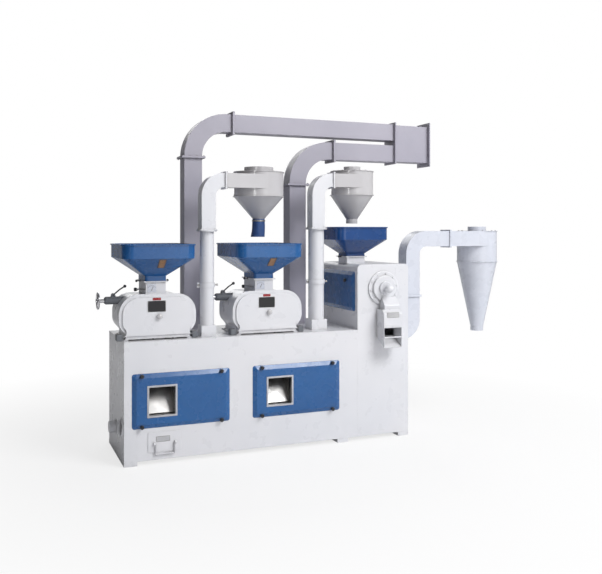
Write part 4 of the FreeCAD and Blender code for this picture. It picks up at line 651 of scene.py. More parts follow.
class Finish(Enum):
    """Every finish on the line, with its record slot."""

    WHITE = (Paint("white_enamel", (0.74, 0.74, 0.77), (0.70, 0.71, 0.75)), "white_paint")
    COOL = (Paint("cool_white_enamel", (0.66, 0.68, 0.75), (0.61, 0.64, 0.72),
                  roughness=0.27), "white_paint")
    PALE = (Paint("pale_grey_enamel", (0.56, 0.55, 0.56), (0.50, 0.49, 0.51), roughness=0.2,
                  coat=0.5), "white_paint")
    BLUE = (Paint("deep_blue_enamel", (0.010, 0.105, 0.315), (0.008, 0.085, 0.27),
                  roughness=0.26, wear=0.8, dust=0.22), "blue_paint")
    # Darker copy of the blue enamel for the whitener hopper: painted shade.
    NAVY = (Paint("shaded_hopper_blue_enamel", (0.006, 0.060, 0.225), (0.005, 0.045, 0.18),
                  roughness=0.24, wear=0.8, dust=0.22), "blue_paint")
    DUCT = (Paint("duct_grey_paint", (0.40, 0.385, 0.45), (0.35, 0.34, 0.405), roughness=0.42,
                  coat=0.1), "duct_grey")
    MOTOR = (Paint("motor_grey_paint", (0.10, 0.15, 0.17), (0.08, 0.12, 0.14),
                   roughness=0.45, coat=0.0), "motor_paint")
    STEEL = (BareMetal("rolled_steel", (0.66, 0.66, 0.68), (0.54, 0.54, 0.57)), "bright_steel")
    ZINC = (BareMetal("zinc_screws", (0.46, 0.45, 0.44), (0.30, 0.30, 0.30), roughness=0.36,
                      stretch=(1.0, 1.0, 1.0)), "bright_steel")
    DARK = (BareMetal("dark_oiled_steel", (0.10, 0.10, 0.11), (0.06, 0.06, 0.07),
                      roughness=0.42), "cast_grey")
    CHROME = (BareMetal("chromed_wheel", (0.82, 0.82, 0.84), (0.74, 0.74, 0.77),
                        roughness=0.10, depth=0.00001, dust=0.06, grime_and_shade=0.4), "chrome")
    CAST = (CastIron("painted_casting", (0.17, 0.18, 0.20), (0.12, 0.13, 0.15)), "cast_grey")
    KNOB = (Moulded("black_phenolic", (0.012, 0.013, 0.018), (0.09, 0.09, 0.095),
                    roughness=0.25), "black_knob")
    BELT = (Moulded("belt_rubber", (0.02, 0.02, 0.02), (0.06, 0.06, 0.06), roughness=0.7),
            "black_rubber")
    PLATE_BLACK = (Paint("black_plate", (0.010, 0.010, 0.012), (0.016, 0.016, 0.018),
                         roughness=0.45, grain=500.0, edge=0.0006, dust=0.0, coat=0.0),
                   "cast_grey")
    PLATE_RED = (Paint("red_plate", (0.33, 0.025, 0.03), (0.28, 0.02, 0.025), grain=500.0,
                       edge=0.0006, dust=0.1), "white_paint")
    PLATE_SILVER = (BareMetal("blank_plate_metal", (0.70, 0.70, 0.71), (0.6, 0.6, 0.62),
                              roughness=0.34, stretch=(0.1, 1.0, 1.0), edge=0.0006),
                    "bright_steel")
    SIGHT = (Acrylic("amber_sight_window", (0.46, 0.24, 0.09), (0.20, 0.09, 0.03)),
             "roll_rubber")
    SLEEVE = (Vinyl("blue_coated_cloth", (0.012, 0.05, 0.18), (0.02, 0.075, 0.24)),
              "blue_sleeve")

    @property
    def slot(self) -> str:
        """The record's material slot of the finish."""
        return self.value[1]

    def material(self) -> bpy.types.Material:
        """The finish's material, built the first time that it is asked for."""
        found = bpy.data.materials.get(self.value[0].name)
        return found or self.value[0].material()


Look = Union[Finish, Surface]


def dress(looks: dict[Look, tuple[str, ...]]) -> None:
    """Give the CAD nodes listed for each look its material in every slot."""
    for look, nodes in looks.items():
        material = look.material()
        for node in nodes:
            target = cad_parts[node]
            if not target.material_slots:
                target.data.materials.append(material)
            for place in target.material_slots:
                place.material = material
            LOG.info("dressed %s in %s", node, material.name)


def across(axis: Point) -> tuple[np.ndarray, np.ndarray, np.ndarray]:
    """Two unit vectors square to an axis, and the axis itself.

    The first is the axis crossed with the world direction that it leans on least, and the
    second completes a right-handed set.
    """
    along = np.array(axis, float)
    along /= np.linalg.norm(along)
    helper = np.eye(3)[int(np.argmin(np.abs(along)))]
    first = np.cross(helper, along)
    first /= np.linalg.norm(first)
    return first, np.cross(along, first), along


def rounded(width: float, height: float, radius: float, steps: int = 5) -> np.ndarray:
    """Outline of a rounded rectangle about its centre.

    Each corner is a quarter turn: the corner's centre plus the radius times (cosine, sine) of
    an angle that runs through 90 degrees from the end of the one before it.

    Args:
        width: Full size across.
        height: Full size up.
        radius: Corner radius.
        steps: Divisions of each corner.

    Returns:
        Points (n, 2), counter-clockwise.
    """
    turn = np.linspace(0, math.pi / 2, steps + 1)
    starts = np.arange(4)[:, None] * math.pi / 2
    angles = starts + turn[None, :]
    signs = np.array([(1, 1), (-1, 1), (-1, -1), (1, -1)], float)
    centres = signs * (np.array([width, height]) / 2 - radius)
    corners = centres[:, None, :] + radius * np.stack([np.cos(angles), np.sin(angles)], -1)
    return corners.reshape(-1, 2)


class Shape:
    """A piece's mesh, gathered from grids of points."""

    def __init__(self) -> None:
        """Start with no points."""
        self.points: list[np.ndarray] = []
        self.faces: list[list[int]] = []
        self.count = 0

    def grid(self, points: np.ndarray, wrap: bool = True, ring: bool = False,
             ends: bool = True) -> "Shape":
        """Add a grid of points as quads.

        Args:
            points: Points (rows, columns, 3).
            wrap: Whether the last column joins the first.
            ring: Whether the last row joins the first.
            ends: Whether the first and last rows are closed by a face.

        Returns:
            The shape itself.
        """
        rows, columns = points.shape[:2]
        index = np.arange(rows * columns).reshape(rows, columns) + self.count
        if ends and not ring:
            self.faces += [index[0, ::-1].tolist(), index[-1].tolist()]
        if wrap:
            index = np.hstack([index, index[:, :1]])
        if ring:
            index = np.vstack([index, index[:1]])
        quads = np.stack([index[:-1, :-1], index[:-1, 1:], index[1:, 1:], index[1:, :-1]], -1)
        self.faces += quads.reshape(-1, 4).tolist()
        self.points.append(points.reshape(-1, 3))
        self.count += rows * columns
        return self

    def turned(self, centre: Point, axis: Point, profile: Sequence[Span], sides: int = 32,
               closed: bool = False) -> "Shape":
        """Add a surface of revolution.

        A point is the centre plus its height along the axis plus its radius times (cosine,
        sine) of the turn.

        Args:
            centre: A point on the axis.
            axis: The direction of the axis.
            profile: Pairs of (radius, height), outwards going up.
            sides: Number of facets round the axis.
            closed: Whether the profile is a loop.

        Returns:
            The shape itself.
        """
        first, second, along = across(axis)
        turn = np.linspace(0, 2 * math.pi, sides, endpoint=False)
        radius, height = np.array(profile, float).T
        circle = np.cos(turn)[:, None] * first + np.sin(turn)[:, None] * second
        points = (np.array(centre) + radius[:, None, None] * circle[None]
                  + height[:, None, None] * along)
        return self.grid(points, ring=closed, ends=not closed)

    def slab(self, centre: Point, right: Point, up: Point, size: Span, depth: float,
             corner: float, edge: float = SOFT_EDGE) -> "Shape":
        """Add a plate with rounded corners and softened edges.

        The outline is carried from the back face to the front, drawn in by the edge at both.

        Args:
            centre: Middle of the back face.
            right: Direction of its width.
            up: Direction of its height.
            size: Width and height.
            depth: Thickness, along right crossed with up.
            corner: Corner radius.
            edge: Size of the softened edge.

        Returns:
            The shape itself.
        """
        right = np.array(right, float) / np.linalg.norm(right)
        up = np.array(up, float) / np.linalg.norm(up)
        out = np.cross(right, up)
        levels = ((edge, 0.0), (0.0, edge), (0.0, depth - edge), (edge, depth))
        rows = []
        for inset, level in levels:
            flat = rounded(size[0] - 2 * inset, size[1] - 2 * inset, corner - inset)
            rows.append(np.array(centre) + flat[:, :1] * right + flat[:, 1:] * up + level * out)
        return self.grid(np.stack(rows))

    def bolt(self, seat: Point, axis: Point, size: float = 0.006) -> "Shape":
        """Add a washer and a chamfered hexagon head.

        Args:
            seat: Point on the surface.
            axis: Direction in which the head stands out.
            size: Half of the head's width across its corners.

        Returns:
            The shape itself.
        """
        self.turned(seat, axis, size * np.array(WASHER_PROFILE), sides=14)
        return self.turned(seat, axis, size * np.array(HEAD_PROFILE), sides=6)

    def finish(self, name: str, body: str, look: Finish, angle: float = 35.0) -> bpy.types.Object:
        """Turn the gathered grids into a piece on a body.

        Args:
            name: The piece's name.
            body: The CAD body that it rides on.
            look: Its finish.
            angle: Edges sharper than this, in degrees, stay sharp.

        Returns:
            The new object.
        """
        mesh = bpy.data.meshes.new(name)
        mesh.from_pydata(np.vstack(self.points), [], self.faces)
        shell = bmesh.new()
        shell.from_mesh(mesh)
        bmesh.ops.remove_doubles(shell, verts=shell.verts, dist=SAME_SPOT)
        bmesh.ops.recalc_face_normals(shell, faces=shell.faces)
        shell.to_mesh(mesh)
        shell.free()
        mesh.polygons.foreach_set("use_smooth", np.ones(len(mesh.polygons), bool))
        mesh.set_sharp_from_angle(angle=math.radians(angle))
        mesh.materials.append(look.material())
        piece = bpy.data.objects.new(name, mesh)
        bpy.context.scene.collection.objects.link(piece)
        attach(piece, body)
        LOG.info("built %s on %s with %d faces", name, body, len(mesh.polygons))
        return piece


def corners(node: str) -> tuple[np.ndarray, np.ndarray]:
    """Lowest and highest corner of a CAD node as arrays."""
    low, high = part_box(node)
    return np.array(low), np.array(high)


def front(node: str) -> float:
    """Y of a CAD node's front face."""
    return corners(node)[0][1]


def round_spots(first: Span, second: Span, counts: tuple[int, int]) -> np.ndarray:
    """Places along the four sides of a rectangle.

    Args:
        first: Low and high side in the first direction.
        second: Low and high side in the second.
        counts: How many places each side holds, corners included.

    Returns:
        Points (n, 2), each once.
    """
    a = np.linspace(*first, counts[0])
    b = np.linspace(*second, counts[1])
    rows = [np.stack([a, np.full_like(a, level)], -1) for level in second]
    columns = [np.stack([np.full_like(b, level), b], -1)[1:-1] for level in first]
    return np.vstack(rows + columns)


def rivets(name: str, body: str, seat: Point, size: Span, depth: float, radius: float) -> None:
    """Domed rivets near the corners of a plate that faces the front.

    Args:
        name: The piece's name.
        body: The body that it rides on.
        seat: Middle of the plate's back face.
        size: The plate's width and height.
        depth: The plate's thickness.
        radius: Radius of a rivet.
    """
    shape = Shape()
    reach = [side / 2 - RIVET_INSET * radius for side in size]
    for across_way in (-1, 1):
        for up_way in (-1, 1):
            spot = (seat[0] + across_way * reach[0], seat[1] - depth,
                    seat[2] + up_way * reach[1])
            shape.turned(spot, FORWARD, radius * np.array(RIVET_PROFILE), sides=14)
    shape.finish(name, body, Finish.ZINC)


def plate(name: str, body: str, seat: Point, size: Span, depth: float, corner: float,
          look: Finish, edge: float = SOFT_EDGE) -> None:
    """Plate that faces the front.

    Args:
        name: The piece's name.
        body: The body that it rides on.
        seat: Middle of the plate's back face.
        size: The plate's width and height.
        depth: Its thickness.
        corner: Its corner radius.
        look: Its finish.
        edge: Size of its softened edge.
    """
    Shape().slab(seat, RIGHT, UP, size, depth, corner, edge).finish(name, body, look)


def framed_plate(name: str, body: str, seat: Point, size: Span, rim: float) -> None:
    """Blank plate that faces the front, in a darker rim.

    Args:
        name: The piece's name.
        body: The body that it rides on.
        seat: Middle of the rim's back face.
        size: The rim's width and height.
        rim: Width of the rim.
    """
    plate(f"{name}_rim", body, seat, size, RIM_DEPTH, RIM_CORNER, Finish.ZINC)
    inner = tuple(side - 2 * rim for side in size)
    raised = (seat[0], seat[1] - RIM_DEPTH, seat[2])
    plate(name, body, raised, inner, BLANK_DEPTH, BLANK_CORNER, Finish.PLATE_SILVER, BLANK_EDGE)


def hand_screw(shape: "Shape", seat: Point, way: int, reach: float) -> None:
    """Add a wing screw that stands out sideways from a flange.

    Args:
        shape: The shape to add it to.
        seat: Where its shank leaves the flange.
        way: -1 to the left, 1 to the right.
        reach: How far it stands out.
    """
    head = [(radius, reach - back) for radius, back in SCREW_HEAD]
    shape.turned(seat, (way, 0, 0), [*SCREW_SHANK, *head], sides=18)
    wing = (seat[0] + way * (reach - WING_BACK), seat[1], seat[2])
    shape.slab(wing, (0, 1, 0), UP, WING_SIZE, WING_DEPTH, WING_CORNER)


@dataclass
class Cabinet:
    """Low and tall cabinet, with their covers and the clean-out drawer."""

    tag_size: Span = (0.097, 0.038)
    tag_level: float = 0.171
    tag_shift: float = -0.012
    rim: float = 0.003

    def build(self) -> None:
        """Dress the nodes and add the blank tag plate."""
        dress({
            Finish.WHITE: ("base_frame", "front_panel", "side_and_rear_panel", "deck_plate",
                           "whitener_cabinet", "cleanout_drawer", "side_ports"),
            Finish.BLUE: ("access_cover_1", "access_cover_2", "side_cover"),
            Finish.KNOB: ("cover_knobs_1", "cover_knobs_2", "side_cover_knob"),
            Finish.STEEL: ("window_frame_1", "window_frame_2", "drawer_handle"),
            Finish.ZINC: ("grain_chutes",)})
        low, high = corners("drawer_handle")
        face = front("front_panel") - DRAWER_FRONT
        middle = (low[0] + high[0]) / 2 + self.tag_shift
        seat = (middle, face, self.tag_level)
        framed_plate("blank_tag_plate", "drawer", seat, self.tag_size, self.rim)


@dataclass
class HullingHead:
    """One rubber-roll head with its hopper, feed neck and adjusters."""

    number: int
    name_plate: Span = (0.124, 0.076)
    rim_corner: float = 0.005
    plate_depth: float = 0.0008
    plate_corner: float = 0.003
    rivet: float = 0.002
    name_plate_spot: Span = (-0.012, 1.083)
    red_plate: Span = (0.058, 0.018)
    red_plate_spot: Span = (-0.012, 1.134)
    rim: float = 0.003
    knob_spot: Span = (0.006, 1.012)
    knob_radius: float = 0.019
    knob_collar: tuple = ((0.62, 0.0), (0.62, 0.003), (0.5, 0.005))
    knob_stem: tuple = ((0.42, 0.005), (0.45, 0.009), (0.9, 0.012))
    knob_seat: float = 0.016
    knob_dome: float = 0.55
    knob_tip: float = 0.05
    knob_steps: int = 8
    neck_front: float = -0.200
    neck_back: float = 0.060
    neck_half: float = 0.071
    neck_flange: float = 0.014
    neck_top: float = 1.253
    dial_size: float = 0.062
    dial_spot: Span = (-0.028, 1.205)
    dial_depth: float = 0.0012
    dial_corner: float = 0.004
    dial_drop: float = 0.22
    dial_reach: float = 0.5
    dial_arc: Span = (35, 145)
    dial_marks: int = 9
    mark_size: Span = (0.0016, 0.008)
    mark_depths: Span = (0.0004, 0.0001)
    needle_turn: float = 65
    needle_size: Span = (0.003, 0.8)
    needle_depths: Span = (0.0012, 0.0002)
    needle_middle: float = 0.42
    pin_profile: tuple = ((0.0048, 0.0), (0.0048, 0.003), (0.003, 0.0042))
    screw_reach: float = 0.034
    slope_foot: Span = (-0.204, 1.288)
    slope_rim: Span = (-0.370, 1.416)
    sight_size: Span = (0.042, 0.090)
    sight_rim: float = 0.006
    sight_depth: float = 0.0014
    sight_corners: Span = (0.004, 0.003)
    pane_depth: float = 0.0012
    sight_spot: Span = (0.018, 0.72)
    foot_half: float = 0.227
    lug_out: float = 0.264
    lug_back: float = -0.225
    lug_size: Span = (0.044, 0.046)
    lug_depth: float = 0.060
    lug_rounds: Span = (0.008, 0.003)
    foot_level: float = 0.858
    foot_places: tuple = (-0.24, -0.09, 0.06)
    grip_lift: float = 0.0004
    grip_profile: tuple = ((0.0060, -0.0010), (0.0120, 0.0002), (0.0135, 0.0030),
                           (0.0135, 0.0130), (0.0128, 0.0150))

    def __post_init__(self) -> None:
        """Find the head's middle from its housing."""
        low, high = corners(f"huller_housing_{self.number}")
        self.middle = (low[0] + high[0]) / 2

    def named(self, name: str) -> str:
        """The piece's name with this head's number."""
        return f"{name}_{self.number}"

    def build(self) -> None:
        """Dress the nodes and add the plates, knobs, dial, screws and sight window."""
        number = self.number
        dress({
            Finish.WHITE: (f"huller_housing_{number}", f"huller_cover_{number}",
                           f"feed_neck_{number}"),
            Finish.BLUE: (f"hopper_{number}",),
            Finish.CHROME: (f"handwheel_{number}",),
            Finish.DARK: (f"engaging_lever_{number}",),
            Finish.CAST: (f"roll_arm_{number}", f"motor_pulley_{number}"),
            Finish.STEEL: (f"feed_gate_{number}",)})
        for name in ("fast_roll", "slow_roll"):
            low, high = corners(f"{name}_{number}")
            look = RubberRoll(f"{name}_layers_{number}", (low[0] + high[0]) / 2,
                              (low[2] + high[2]) / 2)
            dress({look: (f"{name}_{number}",)})
        self.plates()
        self.cover_knob()
        self.dial()
        self.wing_screws()
        self.sight_window()
        self.foot_bolts()
        self.gate_knob()

    def plates(self) -> None:
        """Blank black plate in a bright rim, and a blank red one above it."""
        cover = f"huller_cover_{self.number}"
        face = front(cover)
        seat = (self.middle + self.name_plate_spot[0], face, self.name_plate_spot[1])
        outer = tuple(side + 2 * self.rim for side in self.name_plate)
        plate(self.named("name_plate_rim"), cover, seat, outer, RIM_DEPTH, self.rim_corner,
              Finish.PLATE_SILVER)
        raised = (seat[0], face - RIM_DEPTH, seat[2])
        plate(self.named("name_plate"), cover, raised, self.name_plate, self.plate_depth,
              self.plate_corner, Finish.PLATE_BLACK)
        rivets(self.named("name_plate_rivets"), cover, raised, self.name_plate,
               self.plate_depth, self.rivet)
        spot = (self.middle + self.red_plate_spot[0], face, self.red_plate_spot[1])
        plate(self.named("red_plate"), cover, spot, self.red_plate, RIM_DEPTH,
              self.plate_corner, Finish.PLATE_RED)

    def cover_knob(self) -> None:
        """White hand knob that holds the cover, on a bright collar."""
        cover = f"huller_cover_{self.number}"
        face = front(cover)
        seat = (self.middle + self.knob_spot[0], face, self.knob_spot[1])
        size = self.knob_radius
        collar = [(size * share, height) for share, height in self.knob_collar]
        Shape().turned(seat, FORWARD, collar, sides=28).finish(
            self.named("cover_knob_collar"), cover, Finish.ZINC)
        turn = np.linspace(0, math.pi / 2, self.knob_steps + 1)[:-1]
        swell = size * self.knob_dome
        stem = [(size * share, height) for share, height in self.knob_stem]
        dome = [(size * math.cos(t), self.knob_seat + swell * math.sin(t)) for t in turn]
        tip = (size * self.knob_tip, self.knob_seat + swell)
        Shape().turned(seat, FORWARD, [*stem, *dome, tip], sides=36).finish(
            self.named("cover_knob"), cover, Finish.PALE)

    def dial(self) -> None:
        """White feed dial on the neck: an arc of plain marks and a pointer."""
        seat = (self.middle + self.dial_spot[0], self.neck_front, self.dial_spot[1])
        plate(self.named("feed_dial"), "root", seat, (self.dial_size, self.dial_size),
              self.dial_depth, self.dial_corner, Finish.COOL)
        marks = Shape()
        hub = np.array([seat[0], self.neck_front - self.dial_depth,
                        seat[2] - self.dial_size * self.dial_drop])
        reach = self.dial_size * self.dial_reach
        needle = (self.needle_turn, self.needle_middle,
                  (self.needle_size[0], reach * self.needle_size[1]), *self.needle_depths)
        rays = [(turn, 1.0, self.mark_size, *self.mark_depths) for turn in
                np.linspace(*self.dial_arc, self.dial_marks)]
        for degrees, share, size, deep, soft in (*rays, needle):
            turn = math.radians(degrees)
            out = np.array([math.cos(turn), 0.0, math.sin(turn)])
            side = np.array([out[2], 0.0, -out[0]])
            marks.slab(hub + out * reach * share, side, out, size, deep, deep, soft)
        marks.finish(self.named("dial_marks"), "root", Finish.PLATE_BLACK)
        Shape().turned(hub, FORWARD, self.pin_profile, sides=24).finish(
            self.named("dial_pin"), "root", Finish.ZINC)

    def wing_screws(self) -> None:
        """Hand screws that clamp the hopper's foot in the neck flange."""
        shape = Shape()
        for way in (-1, 1):
            spot = (self.middle + way * (self.neck_half + self.neck_flange),
                    (self.neck_front + self.neck_back) / 2, self.neck_top - SCREW_DROP)
            hand_screw(shape, spot, way, self.screw_reach)
        shape.finish(self.named("hopper_wing_screws"), "root", Finish.DARK)

    def sight_window(self) -> None:
        """Amber window in a thin frame on the hopper's front slope."""
        foot = np.array([0.0, *self.slope_foot])
        rim = np.array([0.0, *self.slope_rim])
        up = rim - foot
        spot = foot + up * self.sight_spot[1]
        spot[0] = self.middle + self.sight_spot[0]
        width, height = self.sight_size
        outer = (width + 2 * self.sight_rim, height + 2 * self.sight_rim)
        Shape().slab(spot, RIGHT, up, outer, self.sight_depth, self.sight_corners[0]).finish(
            self.named("sight_frame"), "root", Finish.DARK)
        out = np.cross(RIGHT, up / np.linalg.norm(up))
        Shape().slab(spot + out * self.sight_depth, RIGHT, up, self.sight_size, self.pane_depth,
                     self.sight_corners[1]).finish(
            self.named("sight_window"), "root", Finish.SIGHT)

    def foot_bolts(self) -> None:
        """Bolts of the head's foot flange and the cast lugs that clamp its front corners."""
        shape = Shape()
        for way in (-1, 1):
            for depth in self.foot_places:
                shape.bolt((self.middle + way * self.foot_half, depth, self.foot_level), UP)
        shape.finish(self.named("foot_bolts"), "root", Finish.ZINC)
        lugs = Shape()
        for way in (-1, 1):
            seat = (self.middle + way * self.lug_out, self.lug_back,
                    DECK_TOP + self.lug_size[1] / 2)
            lugs.slab(seat, RIGHT, UP, self.lug_size, self.lug_depth, *self.lug_rounds)
        lugs.finish(self.named("clamp_lugs"), "root", Finish.CAST)

    def gate_knob(self) -> None:
        """Black grip over the end of the feed gate's stem."""
        low, high = corners(f"feed_gate_{self.number}")
        seat = (low[0] - self.grip_lift, (low[1] + high[1]) / 2, (low[2] + high[2]) / 2)
        Shape().turned(seat, RIGHT, self.grip_profile, sides=30).finish(
            self.named("gate_grip"), f"feed_gate_{self.number}", Finish.KNOB)


@dataclass
class Whitener:
    """The whitener's end cover, chute and hopper on the tall cabinet."""

    plate: Span = (0.104, 0.040)
    plate_spot: Span = (0.905, 0.965)
    screw_reach: float = 0.026
    rim: float = 0.003

    def build(self) -> None:
        """Dress the nodes and add the blank plate of the chute."""
        dress({
            Finish.WHITE: ("whitener_end_cover", "outlet_chute", "whitener_neck",
                           "pressure_knob"),
            # The whitener hopper takes the darker copy of the blue enamel: painted shade.
            Finish.NAVY: ("whitener_hopper",),
            Finish.CAST: ("whitener_barrel", "whitener_roller", "motor_pulley_3",
                          "adjuster_bodies")})
        face = front("outlet_chute")
        seat = (self.plate_spot[0], face, self.plate_spot[1])
        framed_plate("blank_chute_plate", "root", seat, self.plate, self.rim)
        self.wing_screws()

    def wing_screws(self) -> None:
        """Hand screws in the flange of the hopper's neck."""
        low, high = corners("whitener_neck")
        shape = Shape()
        for way, side in ((-1, low[0]), (1, high[0])):
            seat = (side, (low[1] + high[1]) / 2, high[2] - SCREW_DROP)
            hand_screw(shape, seat, way, self.screw_reach)
        shape.finish("neck_wing_screws", "root", Finish.DARK)


@dataclass
class Pneumatics:
    """Lift pipes, cyclones, the grain sleeve and the bran duct."""

    lifts: tuple = ((1, (-0.4935, -0.214), 0.051, 1.611), (2, (0.3935, -0.159), 0.061, 1.627))
    cyclones: tuple = ((1, (-0.0495, -0.076), 0.190, 2.056), (2, (0.7605, -0.039), 0.172, 2.089),
                       (3, (1.9385, -0.085), 0.168, 1.610))
    goose_half: float = 0.0525
    clamp: Span = (1.200, 1.234)
    lid_inset: float = 0.014
    lid_screws: int = 10
    lid_bolt: float = 0.0045
    small_bolt: float = 0.0034
    clamp_bolt: float = 0.0062
    joint_share: float = 0.7
    joint_reach: float = 0.0055
    joint_thickness: float = 0.008
    lug_out: float = 0.013
    lug_back: float = 0.006
    clamp_screw: tuple = ((0.009, 0.0), (0.009, 0.004), (0.004, 0.0045), (0.004, 0.014),
                          (0.008, 0.015), (0.008, 0.022), (0.006, 0.024))
    sleeve_axis: Span = (-0.0495, -0.076)
    sleeve_levels: Span = (1.700, 1.563)
    sleeve_radii: Span = (0.0468, 0.0525)
    sleeve_lean: float = -0.007
    sleeve_wall: float = 0.0022
    sleeve_steps: tuple[int, int] = (96, 40)
    crease_waves: tuple = ((3, 4.0, 0.5), (7, -6.0, 0.3), (2, 9.0, 0.2))
    crease_depth: float = 0.0022
    crease_start: float = 0.12
    crease_fade: float = 0.3
    crease_angle: float = 60.0
    band_drop: float = 0.014
    band_profile: tuple = ((0.0488, -0.007), (0.0502, -0.006), (0.0502, 0.006), (0.0488, 0.007),
                           (0.0476, 0.007), (0.0476, -0.007))

    def build(self) -> None:
        """Dress the pipes and add their bolts and the cloth sleeve."""
        dress({Finish.WHITE: ("lift_pipe_1", "lift_pipe_2"),
               Finish.PALE: ("cyclone_1", "cyclone_2"),
               Finish.COOL: ("cyclone_3", "bran_duct")})
        for number, axis, radius, joint in self.lifts:
            self.lift_bolts(number, axis, radius, joint)
        for number, axis, radius, top in self.cyclones:
            self.lid(number, axis, radius, top)
        self.sleeve()

    def lift_bolts(self, number: int, axis: Span, radius: float, joint: float) -> None:
        """Screws of a lift pipe's joint flange and of its clamp."""
        shape = Shape()
        reach = self.goose_half + self.joint_reach
        level = joint + self.joint_thickness
        inner = self.joint_share * reach
        for dx, dy in ((reach, inner), (inner, reach)):
            for spot in ((-dx, -dy), (-dx, dy), (dx, -dy), (dx, dy)):
                shape.bolt((axis[0] + spot[0], axis[1] + spot[1], level), UP, self.small_bolt)
        middle = sum(self.clamp) / 2
        lug = (axis[0] - radius - self.lug_out, axis[1] - self.lug_back, middle)
        shape.bolt(lug, FORWARD, self.clamp_bolt)
        screw = (axis[0] + radius + self.lug_back, axis[1], middle)
        shape.turned(screw, RIGHT, self.clamp_screw, sides=16)
        shape.finish(f"lift_screws_{number}", "root", Finish.ZINC)

    def lid(self, number: int, axis: Span, radius: float, top: float) -> None:
        """Screws round the lid of a cyclone."""
        shape = Shape()
        ring = radius - self.lid_inset
        for turn in np.linspace(0, 2 * math.pi, self.lid_screws, endpoint=False):
            spot = (axis[0] + ring * math.cos(turn), axis[1] + ring * math.sin(turn), top)
            shape.bolt(spot, UP, self.lid_bolt)
        shape.finish(f"cyclone_lid_screws_{number}", "root", Finish.ZINC)

    def sleeve(self) -> None:
        """Cloth sleeve that hangs from the cyclone, creased and leaning a little.

        The radius grows from top to bottom, plus creases: a sum of waves round the axis whose
        phase drifts with the level. The middle leans with the square of the drop. The inner
        skin follows the outer one at the wall's distance.
        """
        turn = np.linspace(0, 2 * math.pi, self.sleeve_steps[0], endpoint=False)[None, :]
        drop = np.linspace(0, 1, self.sleeve_steps[1])[:, None]
        creases = sum(share * np.sin(waves * turn + drift * drop)
                      for waves, drift, share in self.crease_waves)
        fade = np.clip((drop - self.crease_start) / self.crease_fade, 0, 1)
        radius = (self.sleeve_radii[0] + (self.sleeve_radii[1] - self.sleeve_radii[0]) * drop
                  + self.crease_depth * creases * fade)
        level = self.sleeve_levels[0] + (self.sleeve_levels[1] - self.sleeve_levels[0]) * drop
        centre = self.sleeve_axis[0] + self.sleeve_lean * drop ** 2
        skins = []
        for inset in (0.0, self.sleeve_wall):
            reach = radius - inset
            skins.append(np.stack([centre + reach * np.cos(turn),
                                   self.sleeve_axis[1] + reach * np.sin(turn),
                                   level + np.zeros_like(turn)], -1))
        loop = np.concatenate([skins[0], skins[1][::-1]])
        piece = Shape().grid(loop, ring=True).finish("grain_sleeve_cloth", "root", Finish.SLEEVE,
                                                      self.crease_angle)
        self.sleeve_map(piece)
        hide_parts("grain_sleeve")
        seat = (*self.sleeve_axis, self.sleeve_levels[0] - self.band_drop)
        band_piece = Shape().turned(seat, UP, self.band_profile, sides=64, closed=True).finish(
            "sleeve_band", "root", Finish.ZINC)

    def sleeve_map(self, piece: bpy.types.Object) -> None:
        """UV map of the sleeve: turn round the axis across and level up, both in metres."""
        mesh = piece.data
        points = np.empty(len(mesh.vertices) * 3)
        mesh.vertices.foreach_get("co", points)
        points = points.reshape(-1, 3)
        turn = np.arctan2(points[:, 1] - self.sleeve_axis[1], points[:, 0] - self.sleeve_axis[0])
        flat = np.stack([turn * self.sleeve_radii[1], points[:, 2]], -1)
        loops = np.empty(len(mesh.loops), int)
        mesh.loops.foreach_get("vertex_index", loops)
        layer = mesh.uv_layers.new(name="cloth")
        layer.data.foreach_set("uv", flat[loops].ravel())


@dataclass
class Ducts:
    """Grey suction ducts, their collector and the flange bolts of every square duct."""

    depth: Span = (0.195, 0.335)
    left: float = -1.1075
    spans: tuple = ((0.548, 0.688), (1.421, 1.564))
    joints: Span = (2.189, 1.997)
    bends: Span = (0.200, 0.207)
    elbow_ends: Span = (0.939, 1.816)
    flange: float = 0.011
    thickness: float = 0.008
    plate_at: float = 2.388
    plate_edge: float = 0.010
    plate_reach: float = 0.017
    collector_levels: Span = (2.186, 2.545)
    bolt: float = 0.0052
    flange_counts: tuple[int, int] = (4, 4)
    plate_counts: tuple[int, int] = (3, 5)

    def build(self) -> None:
        """Dress the ducts and bolt their flanges."""
        dress({Finish.DUCT: ("suction_duct_1", "suction_duct_2", "collector")})
        for index in range(2):
            self.duct_bolts(index)
        self.collector_bolts()

    def widened(self, span: Span, reach: float) -> Span:
        """A span let out at both ends."""
        return (span[0] - reach, span[1] + reach)

    def duct_bolts(self, index: int) -> None:
        """Bolts of a duct's foot, riser joint and elbow joint."""
        shape = Shape()
        low, high = (self.left + side for side in self.spans[index])
        joint = self.joints[index]
        around = round_spots(self.widened((low, high), self.flange),
                             self.widened(self.depth, self.flange), self.flange_counts)
        for x, y in around:
            shape.bolt((x, y, joint), UP, self.bolt)
            shape.bolt((x, y, joint - 2 * self.thickness), DOWN, self.bolt)
        width = high - low
        levels = (joint + self.bends[index], joint + self.bends[index] + width)
        at = self.left + self.elbow_ends[index]
        for y, z in round_spots(self.widened(self.depth, self.flange),
                                self.widened(levels, self.flange), self.flange_counts):
            shape.bolt((at - self.thickness, y, z), LEFTWARD, self.bolt)
            shape.bolt((at + self.thickness, y, z), RIGHT, self.bolt)
        shape.finish(f"duct_bolts_{index + 1}", "root", Finish.ZINC)

    def collector_bolts(self) -> None:
        """Bolts of the collector's inlet plate."""
        shape = Shape()
        at = self.left + self.plate_at
        levels = self.widened(self.collector_levels, -self.plate_edge)
        depth = self.widened(self.depth, self.plate_reach)
        for y, z in round_spots(depth, levels, self.plate_counts):
            shape.bolt((at + self.thickness, y, z), RIGHT, self.bolt)
        shape.finish("collector_bolts", "root", Finish.ZINC)


class Drive:
    """Motors and belts inside the cabinets."""

    def build(self) -> None:
        """Dress the motors and the belts."""
        dress({Finish.MOTOR: ("motors",), Finish.BELT: ("drive_belts",)})


